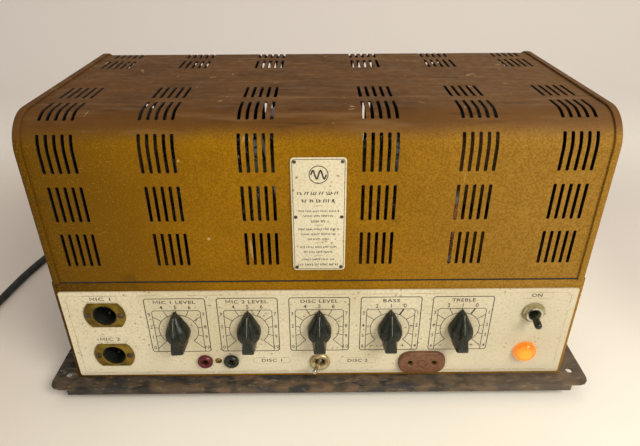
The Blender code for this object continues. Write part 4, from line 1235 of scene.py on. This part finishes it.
def labels_on_panel():
    """Text, middle, width and box width of each label."""
    mic_x = centre("mic_socket_1").x
    power = centre("power_switch")
    phono = centre("phono_socket_black")
    selector = centre("selector_switch")
    return (("MIC 1", mic_x - 0.9 * MM, centre("mic_socket_1").z + 14.6 * MM, 15 * MM, 26 * MM),
            ("MIC 2", mic_x - 0.6 * MM, centre("mic_socket_2").z + 15.6 * MM, 15 * MM, 26 * MM),
            ("ON", power.x, power.z + 15.6 * MM, 8.0 * MM, 24 * MM),
            ("DISC 1", phono.x + 32 * MM, phono.z - 0.2 * MM, 16 * MM, 29 * MM),
            ("DISC 2", selector.x + 30 * MM, selector.z + 0.4 * MM, 16 * MM, 29 * MM))


# Knobs --------------------------------------------------------------------------
REST_TURN = {"mic_1": radians(-3)}
KNOB_TIP = 0.0186
KNOB_TAIL = 0.0115
KNOB_RADIUS = 0.0093
KNOB_BACK = 0.0022
KNOB_FRONT = 0.0176


def knob_height(along):
    """Height of the fin's ridge above the panel plane, at a place along the fin."""
    if along <= 0:
        return KNOB_FRONT
    return KNOB_FRONT - 0.0093 * (along / KNOB_TIP) ** 1.45


def knob_skirt(bm, place):
    """Teardrop body whose point runs out under the fin's tip."""
    levels = ((1.0, KNOB_BACK, 1.0), (1.0, 0.0026, 1.0), (1.0, 0.0048, 0.94), (0.985, 0.0066, 0.80),
              (0.95, 0.0084, 0.60), (0.88, 0.0100, 0.38), (0.77, 0.0114, 0.20), (0.62, 0.0125, 0.08),
              (0.42, 0.0133, 0.0), (0.20, 0.0137, 0.0), (0.02, 0.0138, 0.0))
    rings = []
    steps = 72
    for scale, height, point in levels:
        ring = []
        for step in range(steps):
            angle = 2 * pi * step / steps
            spread = exp(-((angle if angle < pi else 2 * pi - angle) / 0.40) ** 1.35)
            radius = KNOB_RADIUS * scale + (KNOB_TIP - 0.0004 - KNOB_RADIUS) * spread * point * scale
            ring.append((-radius * sin(angle), radius * cos(angle), height))
        rings.append(ring)
    add_loft(bm, rings, place)


def knob_fin(bm, place):
    """Upright fin: narrow at the tip, widening to a square tail, with soft edges."""
    rings = []
    stations = (-1.0, -0.985, -0.94, -0.80, -0.5, -0.2, 0.1, 0.3, 0.5, 0.65, 0.8, 0.9, 0.96, 0.99, 1.0)
    for station in stations:
        along = station * (KNOB_TIP if station > 0 else KNOB_TAIL)
        top = 0.0031
        flare = 0.0004 + 0.0026 * max(0.0, min(1.0, -station * 2.5)) * max(0.35, 1.25 + station)
        half = top + (0.00070 - top) * station ** 0.8 if station > 0 else 0.0031 - 0.0017 * station
        ends = sqrt(max(0.0, 1 - max(0.0, (abs(station) - 0.9) / 0.1) ** 2))
        half *= 0.55 + 0.45 * ends
        height = knob_height(along) - (1 - ends) * 0.0012
        foot = KNOB_BACK + 0.0002
        edge = min(0.0012, half * 0.8)
        side = [(half + flare, foot), (half + flare * 0.55, height * 0.6)]
        for step in range(5):
            angle = step * pi / 8
            side.append((half - edge + edge * cos(angle), height - edge + edge * sin(angle)))
        ring = [(x, along, z) for x, z in side] + [(-x, along, z) for x, z in reversed(side)]
        rings.append(ring)
    add_loft(bm, rings, place)


def knobs():
    """Five pointer knobs with a white line on the fin."""
    for dial in DIALS:
        x, z = dial_place(dial)
        place = at_front(x, z) @ Matrix.Rotation(-REST_TURN.get(dial, 0.0), 4, "Z")
        skirt, fin = bmesh.new(), bmesh.new()
        knob_skirt(skirt, place)
        knob_fin(fin, place)
        bore = bmesh.new()
        add_rings(bore, [(0.0033, 0.0), (0.0033, 0.0112)], 24, place)
        whole = carved(carved(skirt, fin, operation="UNION"), bore)
        body = f"dial_{dial}"
        new_piece(f"pointer_knob_{dial}", whole, "knob_bakelite", "bakelite", body, (f"knob_{dial}",), 40)
        line = bmesh.new()
        rings = []
        start, end, half = 0.0050, KNOB_TIP - 0.0012, 0.00022
        for step in range(13):
            along = start + step * (end - start) / 12
            top = knob_height(along) + 0.00006
            foot = top - 0.0004
            rings.append([(-half, along, foot), (-half, along, top), (half, along, top), (half, along, foot)])
        add_loft(line, rings, place)
        new_piece(f"pointer_line_{dial}", line, "white_paint", "ivory_plastic", body)


# Sockets, switches and lamp on the front ------------------------------------------
def mic_sockets():
    """Brass flange with flattened top and bottom, two screws and a deep dark bore."""
    head = screw_mesh(0.0024, 0.0011, 0.0006)
    for number in (1, 2):
        node = f"mic_socket_{number}"
        low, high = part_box(node)
        place = front_of(node)
        radius, half_height = (high.x - low.x) / 2, (high.z - low.z) / 2
        face = FRONT - low.y
        bore, steps = 0.0089, 96

        def outline(inset, height):
            ring = []
            for step in range(steps):
                angle = 2 * pi * step / steps
                flat = (half_height - inset) / max(abs(sin(angle)), 1e-6)
                reach = min(radius - inset, flat)
                ring.append((reach * cos(angle), reach * sin(angle), height))
            return ring

        rings = [outline(0.0, face - 0.0010), outline(0.0, face - 0.0004), outline(0.0001, face - 0.0001),
                 outline(0.0004, face)]
        rings += [circle(r, h, steps) for r, h in (
            (bore + 0.0014, face), (bore + 0.0012, face + 0.0001), (bore + 0.0009, face + 0.0003),
            (bore + 0.0004, face + 0.0003), (bore, face), (bore, -0.0125), (0.0004, -0.0125),
            (0.0004, -0.0148), (0.0100, -0.0148), (0.0100, face - 0.0010))]
        bm = bmesh.new()
        add_loft(bm, rings, place, ring_closed=True)
        new_piece(f"mic_flange_{number}", bm, "brass", "brass", replaces=(node,), smooth=30)
        tube = [(bore - 0.0001, face - 0.0012), (bore - 0.0001, -0.0124), (0.0001, -0.0124),
                (0.0001, -0.0114), (bore - 0.0009, -0.0114), (bore - 0.0009, face - 0.0012)]
        ring_piece(f"mic_insulator_{number}", tube, 48, place, "inner_black", "bakelite", smooth=30)
        contacts = bmesh.new()
        pin = [(0.0, -0.0115), (0.0011, -0.0115), (0.0011, -0.0060), (0.0007, -0.0052), (0.0, -0.0050)]
        for turn in (30, 150, 270):
            spot = Matrix.Translation((0.0040 * cos(radians(turn)), 0.0040 * sin(radians(turn)), 0.0))
            add_turned(contacts, pin, place @ spot, 16, 0.0002)
        new_piece(f"mic_contacts_{number}", contacts, "dark_screw", "brass")
        screws = bmesh.new()
        for side, turn in ((-1, 20 + 35 * number), (1, -50 + 30 * number)):
            spot = place @ Matrix.Translation((side * (radius - 0.0034), 0.0, face))
            add_mesh(screws, head, spot @ Matrix.Rotation(radians(turn), 4, "Z"))
        new_piece(f"mic_screws_{number}", screws, "dark_screw", "steel")


def phono_sockets():
    """Red and black 4 mm sockets, and the screw between them."""
    face = PANEL_THICKNESS
    for colour, finish_name in (("red", "red_plastic"), ("black", "bakelite")):
        node = f"phono_socket_{colour}"
        place = front_of(node)
        profile = [(0.0, -0.0150), (0.0037, -0.0150), (0.0037, face), (0.0060, face), (0.0060, 0.0040),
                   (0.0050, 0.0051), (0.0038, 0.0052), (0.0028, 0.0045), (0.0024, 0.0038), (0.0024, -0.0118),
                   (0.0, -0.0118)]
        turned(f"jack_{colour}", profile, finish_name, place, finish_name,
               replaces=(node,), steps=48, fillet=0.0003)
        sleeve = [(0.00235, 0.0030), (0.00235, -0.0112), (0.0020, -0.0112), (0.0020, 0.0030)]
        ring_piece(f"jack_sleeve_{colour}", sleeve, 32, place, "brass", "brass")
    red, black = centre("phono_socket_red"), centre("phono_socket_black")
    screw = screw_mesh(0.0026, 0.0013, 0.0007)
    bm = bmesh.new()
    place = at_front((red.x + black.x) / 2, red.z - 0.0002, PANEL_FACE)
    add_mesh(bm, screw, place @ Matrix.Rotation(radians(24), 4, "Z"))
    new_piece("phono_screw", bm, "brass", "brass")


def outlet():
    """Brown moulded two-pin outlet with rounded ends and two brass contacts."""
    node = "two_pin_socket"
    low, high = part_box(node)
    place = front_of(node)
    half_width, half_height = (high.x - low.x) / 2, (high.z - low.z) / 2
    face = FRONT - low.y

    def outline(inset):
        return rounded_outline(half_width - inset, half_height - inset, half_height - 0.0012 - inset, 10)

    body = bmesh.new()
    add_plate(body, outline, PANEL_THICKNESS, face, 0.0016, place)
    back = bmesh.new()
    add_box(back, (-0.0139, -0.0069, -0.0139), (0.0139, 0.0069, 0.0025), place)
    holes = bmesh.new()
    for side in (-1, 1):
        spot = place @ Matrix.Translation((side * PIN_OFFSET, 0.0004, 0.0))
        hole = [(0.0022, -0.0118), (0.0022, face - 0.0006), (0.0034, face + 0.0004)]
        add_rings(holes, hole, 32, spot)
    ring = bmesh.new()
    groove = [(0.0040, face - 0.0004), (0.0040, face + 0.001),
              (0.0034, face + 0.001), (0.0034, face - 0.0004)]
    add_rings(ring, groove, 48, place, ring_closed=True)
    solid = carved(carved(body, back, operation="UNION"), holes, ring)
    new_piece("outlet_body", solid, "brown_bakelite", "brown_bakelite", replaces=(node,), smooth=32)
    sleeves = bmesh.new()
    for side in (-1, 1):
        spot = place @ Matrix.Translation((side * PIN_OFFSET, 0.0004, 0.0))
        tube = [(0.00215, face - 0.0012), (0.00215, -0.0112), (0.0017, -0.0112), (0.0017, face - 0.0012)]
        add_rings(sleeves, tube, 28, spot, ring_closed=True)
    new_piece("outlet_contacts", sleeves, "brass", "brass")


def selector_switch():
    """Round pale brass bush with a raised ring, and a plated lever leaning to the left."""
    place = front_of("selector_switch")
    bush = [(0.0, -0.0100), (0.0095, -0.0100), (0.0095, -0.0019), (0.0058, -0.0019), (0.0058, 0.0018),
            (0.0080, 0.0018), (0.0081, 0.0030), (0.0074, 0.0040), (0.0062, 0.0042), (0.0056, 0.0036),
            (0.0046, 0.0036), (0.0036, 0.0018), (0.0034, -0.0038), (0.0, -0.0038)]
    turned("selector_bush", bush, "ivory_brass", place, "brass", replaces=("selector_switch",), steps=64)
    tilt = Matrix.Rotation(radians(-18), 4, "Y")
    lever = [(0.0, -0.0026), (0.0018, -0.0024), (0.0026, -0.0005), (0.0017, 0.0022), (0.0013, 0.0040),
             (0.0014, 0.0100), (0.0019, 0.0120), (0.0023, 0.0136), (0.0018, 0.0149), (0.0007, 0.0153),
             (0.0, 0.0153)]
    turned("selector_bat", lever, "steel", place @ tilt, "steel", "selector_toggle", ("selector_lever",), 32)


def power_switch():
    """Ivory collar with a plated nut, and a black bat lever resting downwards."""
    place = front_of("power_switch")
    collar = [(0.0, -0.0200), (0.0120, -0.0200), (0.0120, -0.0019), (0.0062, -0.0019), (0.0062, 0.0018),
              (0.0087, 0.0018), (0.0086, 0.0029), (0.0080, 0.0035), (0.0070, 0.0036), (0.0064, 0.0050),
              (0.0054, 0.0053), (0.0046, 0.0046), (0.0040, 0.0020), (0.0040, -0.0043), (0.0, -0.0043)]
    turned("power_collar", collar, "ivory_plastic", place, "ivory_plastic",
           replaces=("power_switch",), steps=64)
    tilt = Matrix.Rotation(radians(13), 4, "X")
    lever = [(0.0, -0.0030), (0.0022, -0.0026), (0.0032, -0.0004), (0.0023, 0.0022), (0.0023, 0.0050),
             (0.0028, 0.0125), (0.0027, 0.0150), (0.0017, 0.0164), (0.0, 0.0166)]
    nut = [(0.0048, 0.0044), (0.0062, 0.0044), (0.0062, 0.0054), (0.0048, 0.0054)]
    ring_piece("power_nut", nut, 40, place, "steel", "steel")
    turned("power_bat", lever, "knob_bakelite", place @ tilt, "bakelite", "power_toggle",
           ("power_lever",), 32)


def pilot_lamp():
    """Amber dome with a low collar."""
    low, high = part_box("pilot_jewel")
    radius = (high.x - low.x) / 2
    face = PANEL_THICKNESS
    dome = [(0.0, -0.0030), (0.0058, -0.0030), (0.0058, face), (radius, face), (radius, face + 0.0009)]
    for step in range(1, 9):
        angle = step * pi / 18
        dome.append((radius * cos(angle), face + 0.0009 + 0.0060 * sin(angle)))
    dome.append((0.0, face + 0.0069))
    turned("amber_lens", dome, "amber_jewel", front_of("pilot_jewel"), "amber_jewel",
           replaces=("pilot_jewel",), steps=56, fillet=0.0)


# Inside -------------------------------------------------------------------------
def on_deck(node):
    """The place on the deck at a node's middle."""
    middle = centre(node)
    return Matrix.Translation((middle.x, middle.y, DECK + GAP))


def glass_tube(node):
    """Bulb, base, anode, getter flash and mica of a power tube."""
    low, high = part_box(node)
    middle = centre(node)
    place = Matrix.Translation((middle.x, middle.y, low.z))
    height = high.z - low.z
    radius = (high.x - low.x) / 2 - 0.0004
    wall = 0.0007
    outer = [(radius * 0.80, 0.0240), (radius, 0.0290)]
    angles = [k * pi / 16 for k in range(8)]
    outer += [(radius * cos(angle), height - radius * (1 - sin(angle)) - 0.0004) for angle in angles]
    tip = [(0.0004, height - 0.0004), (0.0002, height - 0.0011)]
    inner = [(max(r - wall, 0.0003), h - wall * (h > 0.03)) for r, h in reversed(outer)]
    ring_piece(f"{node}_glass", outer + tip + inner, 40, place, "clear_glass", "tube_glass",
               replaces=(node,), smooth=50)
    base = [(0.0, 0.0), (radius * 0.95, 0.0), (radius * 0.97, 0.0060), (radius * 0.93, 0.0260), (0.0, 0.0260)]
    turned(f"{node}_base", base, "bakelite", place, "bakelite", fillet=0.001)
    top = height - radius
    anode = bmesh.new()
    plan = rounded_outline(radius * 0.62, radius * 0.36, 0.0035)
    rings = []
    for h in (0.031, 0.0315, top - 0.0165, top - 0.016):
        grow = 1.0 if 0.0312 < h < top - 0.0162 else 0.93
        rings.append([(x * grow, y * grow, h) for x, y in plan])
    add_loft(anode, rings, place)
    new_piece(f"{node}_anode", anode, "anode", "steel", smooth=45)
    mica = bmesh.new()
    for h in (0.0290, top - 0.0140):
        add_rings(mica, [(radius * 0.82, h), (radius * 0.82, h + 0.0005)], 28, place)
    new_piece(f"{node}_mica", mica, "porcelain", "ivory_plastic")
    shell = [(radius - wall - 0.0002, top + 0.0005)]
    shell += [((radius - wall - 0.0002) * cos(k * pi / 14), top + (radius - wall - 0.0006) * sin(k * pi / 14))
              for k in range(1, 7)]
    shell += [(max(0.0003, r - 0.0003), h - 0.0003) for r, h in reversed(shell)]
    ring_piece(f"{node}_getter", shell, 36, place, "getter", "steel", smooth=50)


def deck_parts():
    """Tubes, sockets, screening cans, the capacitor and the wound parts on the deck."""
    for node in ("output_tube_1", "output_tube_2", "rectifier_tube"):
        glass_tube(node)
    for node in ("output_socket_1", "output_socket_2", "rectifier_socket"):
        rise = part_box(node)[1].z - DECK - GAP
        socket = [(0.0, -0.0118), (0.0136, -0.0118), (0.0136, 0.0001), (0.0189, 0.0001), (0.0189, 0.0018),
                  (0.0170, rise), (0.0, rise)]
        turned(f"{node}_moulding", socket, "brown_bakelite", on_deck(node), "bakelite", replaces=(node,))
    for number in (1, 2, 3):
        node = f"preamp_tube_{number}"
        can = [(0.0, 0.0), (0.0125, 0.0), (0.0125, 0.0058), (0.0112, 0.0070), (0.0112, 0.0400),
               (0.0106, 0.0408), (0.0112, 0.0416), (0.0112, 0.0475), (0.0082, 0.0520), (0.0030, 0.0528),
               (0.0028, 0.0500), (0.0, 0.0500)]
        turned(f"screening_can_{number}", can, "aluminium", on_deck(node), "aluminium",
               replaces=(node,), steps=48)
    can = [(0.0, 0.0), (0.0175, 0.0), (0.0175, 0.0060), (0.0168, 0.0068), (0.0175, 0.0076), (0.0175, 0.0780),
           (0.0160, 0.0798), (0.0120, 0.0792), (0.0, 0.0790)]
    turned("capacitor_can", can, "aluminium", on_deck("filter_capacitor"), "aluminium",
           replaces=("filter_capacitor",), steps=56)
    for node, core_depth in (("mains_transformer", 0.048), ("output_transformer", 0.040), ("choke", 0.024)):
        low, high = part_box(node)
        MADE[f"{node}_core"] = laminations(f"{node}_core", node, (high.y - low.y - core_depth) / 2)
        refined(node, f"{node}_core", 0.0008, "core_iron")
        clamp_bolts(node, core_depth)


def wound_resistor():
    """Copper-wound ceramic resistor on end, just behind the cover's slots."""
    place = Matrix.Translation((0.1000, -0.0740, DECK + GAP))
    core = [(0.0, 0.0), (0.0052, 0.0), (0.0052, 0.0560), (0.0, 0.0560)]
    turned("resistor_core", core, "porcelain", place, "ivory_plastic")
    turns, pitch, foot = 26, 0.0017, 0.0060
    profile = [(0.0050, foot)]
    for turn in range(turns):
        start = foot + turn * pitch
        profile += [(0.0056, start + 0.0003), (0.0061, start + 0.0008), (0.0056, start + 0.0013)]
    profile.append((0.0050, foot + turns * pitch))
    ring_piece("resistor_winding", profile, 28, place, "copper", "brass")


def top_cap_leads():
    """White leads from the output tubes' top caps down to the deck."""
    for number in (1, 2):
        low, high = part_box(f"output_tube_{number}")
        x, y, top = (low.x + high.x) / 2, (low.y + high.y) / 2, high.z
        cap = [(0.0, -0.0006), (0.0042, -0.0006), (0.0042, 0.0040), (0.0034, 0.0052), (0.0, 0.0052)]
        turned(f"top_cap_{number}", cap, "porcelain", Matrix.Translation((x, y, top)), "ivory_plastic",
               steps=28)
        knots = ((x, y, top + 0.0040), (x + 0.004, y - 0.012, top + 0.0030),
                 (x + 0.010, y - 0.026, top - 0.008), (x + 0.017, y - 0.031, top - 0.040),
                 (x + 0.024, y - 0.022, DECK + 0.0015))
        round_curve(f"top_cap_lead_{number}", "BEZIER", knots, 0.0014, 3, "porcelain")


def clamp_bolts(node, core_depth):
    """Four bolts through the corners of a transformer's core."""
    low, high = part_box(node)
    middle = (low + high) / 2
    inset = 0.08 * (high.x - low.x)
    bm = bmesh.new()
    nut = [(0.0042, 0.0), (0.0042, 0.0024), (0.0038, 0.0028)]
    stud = [(0.0018, 0.0028), (0.0018, 0.0048), (0.0016, 0.0050)]
    for side in (-1, 1):
        turn = Matrix.Rotation(side * radians(-90), 4, "X")
        for x in (low.x + inset, high.x - inset):
            for z in (low.z + inset, high.z - inset):
                place = Matrix.Translation((x, middle.y + side * core_depth / 2, z)) @ turn
                add_rings(bm, nut, 6, place)
                add_rings(bm, stud, 16, place)
    new_piece(f"{node}_bolts", bm, "steel", "steel")


def carried_over():
    """Better finishes for the CAD nodes whose shape is already right."""
    finishes = {"pilot_holder": "brass", "pilot_bulb": "clear_glass"}
    for dial in DIALS:
        finishes[f"potentiometer_{dial}"] = "aluminium"
        finishes[f"shaft_{dial}"] = "aluminium"
    for node, name in finishes.items():
        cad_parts[node].data.materials.clear()
        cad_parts[node].data.materials.append(finish(name))


# Case -----------------------------------------------------------------------------
def case():
    """Chassis, panel and base plate with softened edges, and the rubber feet."""
    refined("chassis", "gold_chassis", 0.0005, "gold_enamel")
    refined("front_panel", "panel_cream", 0.00022, "panel_finish")
    refined("base_plate", "rusted_steel", 0.00045, "dark_steel")
    for corner in ("front_left", "front_right", "rear_left", "rear_right"):
        node = f"foot_{corner}"
        low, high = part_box(node)
        middle = centre(node)
        top = high.z - low.z
        foot = [(0.0, 0.0012), (0.0040, 0.0012), (0.0046, 0.0), (0.0106, 0.0), (0.0119, 0.0012),
                (0.0106, top), (0.0, top)]
        turned(f"rubber_{node}", foot, "rubber", Matrix.Translation((middle.x, middle.y, low.z)),
               "rubber", replaces=(node,), steps=48, fillet=0.0007)


# Rear wall --------------------------------------------------------------------------
DRUM_FACE, RING_FACE = 0.0072, 0.0036


def voltage_selector():
    """Moulded ring with marks round it, and a drum with a screwdriver slot."""
    place = rear_of("voltage_selector")
    housing = [(0.0, -0.0130), (0.0140, -0.0130), (0.0140, 0.0004), (0.0189, 0.0004), (0.0189, 0.0028),
               (0.0180, 0.0036), (0.0127, 0.0036), (0.0127, -0.0106), (0.0, -0.0106)]
    turned("selector_housing", housing, "bakelite", place, "bakelite",
           replaces=("voltage_selector",), steps=64)
    drum = bmesh.new()
    profile = [(0.0, -0.0102), (0.0121, -0.0102), (0.0121, 0.0060), (0.0110, DRUM_FACE), (0.0, DRUM_FACE)]
    add_turned(drum, profile, place, 64)
    slot = bmesh.new()
    add_box(slot, (-0.0100, -0.0011, 0.0044), (0.0100, 0.0011, 0.010), place)
    new_piece("selector_drum", carved(drum, slot), "brown_bakelite", "brown_bakelite", "voltage_drum",
              ("voltage_selector_drum",), 32)
    arrow = bmesh.new()
    add_stroke(arrow, [(0.0, 0.0045), (0.0, 0.0092)], 0.0009, rear_of("voltage_selector", REAR + DRUM_FACE))
    new_piece("selector_mark", arrow, "white_paint", "ivory_plastic", "voltage_drum")
    scale = bmesh.new()
    ring = rear_of("voltage_selector", REAR + RING_FACE)
    for step in range(6):
        angle = radians(60 * step)
        mark = [(radius * sin(angle), radius * cos(angle)) for radius in (0.0138, 0.0168)]
        add_stroke(scale, mark, 0.0006, ring)
    new_piece("selector_scale", scale, "white_paint", "ivory_plastic")


def fuse_holder():
    """Round holder with a ribbed cap."""
    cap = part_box("fuse_holder")[1].y - REAR
    profile = [(0.0, -0.0300), (0.0066, -0.0300), (0.0066, 0.0004), (0.0095, 0.0004), (0.0095, 0.0036),
               (0.0074, 0.0046)]
    rings = [circle(max(r, AXIS_RADIUS), h, 72) for r, h in filleted(profile, 0.0004)]
    for h, shrink in ((0.0056, 0.0), (cap - 0.0012, 0.0), (cap - 0.0004, 0.0004), (cap - 0.00005, 0.0014)):
        ring = []
        for step in range(72):
            angle = 2 * pi * step / 72
            reach = 0.0072 - shrink - 0.0004 * (0.5 - 0.5 * cos(24 * angle))
            ring.append((reach * cos(angle), reach * sin(angle), h))
        rings.append(ring)
    bm = bmesh.new()
    add_loft(bm, rings, rear_of("fuse_holder"))
    new_piece("fuse_cap", bm, "bakelite", "bakelite", replaces=("fuse_holder",), smooth=45)


def output_terminals():
    """Six-bay terminal strip with a brass lug and screw in each bay."""
    refined("output_terminals", "bakelite", 0.0005, "bakelite")
    low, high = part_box("output_terminals")
    screws = bmesh.new()
    head = screw_mesh(0.0036, 0.0020, 0.0010)
    bays, pitch, wall, lug_height = 6, 0.0190, 0.0020, 0.0006
    for bay in range(bays):
        x = (low.x + high.x) / 2 + (bay + 0.5 - bays / 2) * pitch - wall / 2
        place = at_rear(x, (low.z + high.z) / 2, REAR + 0.0050)
        plan = rounded_outline(0.0052, 0.0090, 0.0010)
        faces = [[(across, up, height) for across, up in plan] for height in (0.0, lug_height)]
        add_loft(screws, faces, place)
        spot = place @ Matrix.Translation((0, 0.0035, lug_height))
        add_mesh(screws, head, spot @ Matrix.Rotation(bay * 0.7, 4, "Z"))
    new_piece("terminal_screws", screws, "brass", "brass")


bpy.context.scene.view_settings.view_transform = "Standard"
camera()
lights()
mains_lead()
backdrop()
case()
cover_sheet()
cover_cap("cover_end_left", -1)
cover_cap("cover_end_right", 1)
cover_details()
nameplate()
panel_print()
knobs()
mic_sockets()
phono_sockets()
outlet()
selector_switch()
power_switch()
pilot_lamp()
deck_parts()
wound_resistor()
top_cap_leads()
voltage_selector()
fuse_holder()
output_terminals()
carried_over()

bpy.context.view_layer.update()
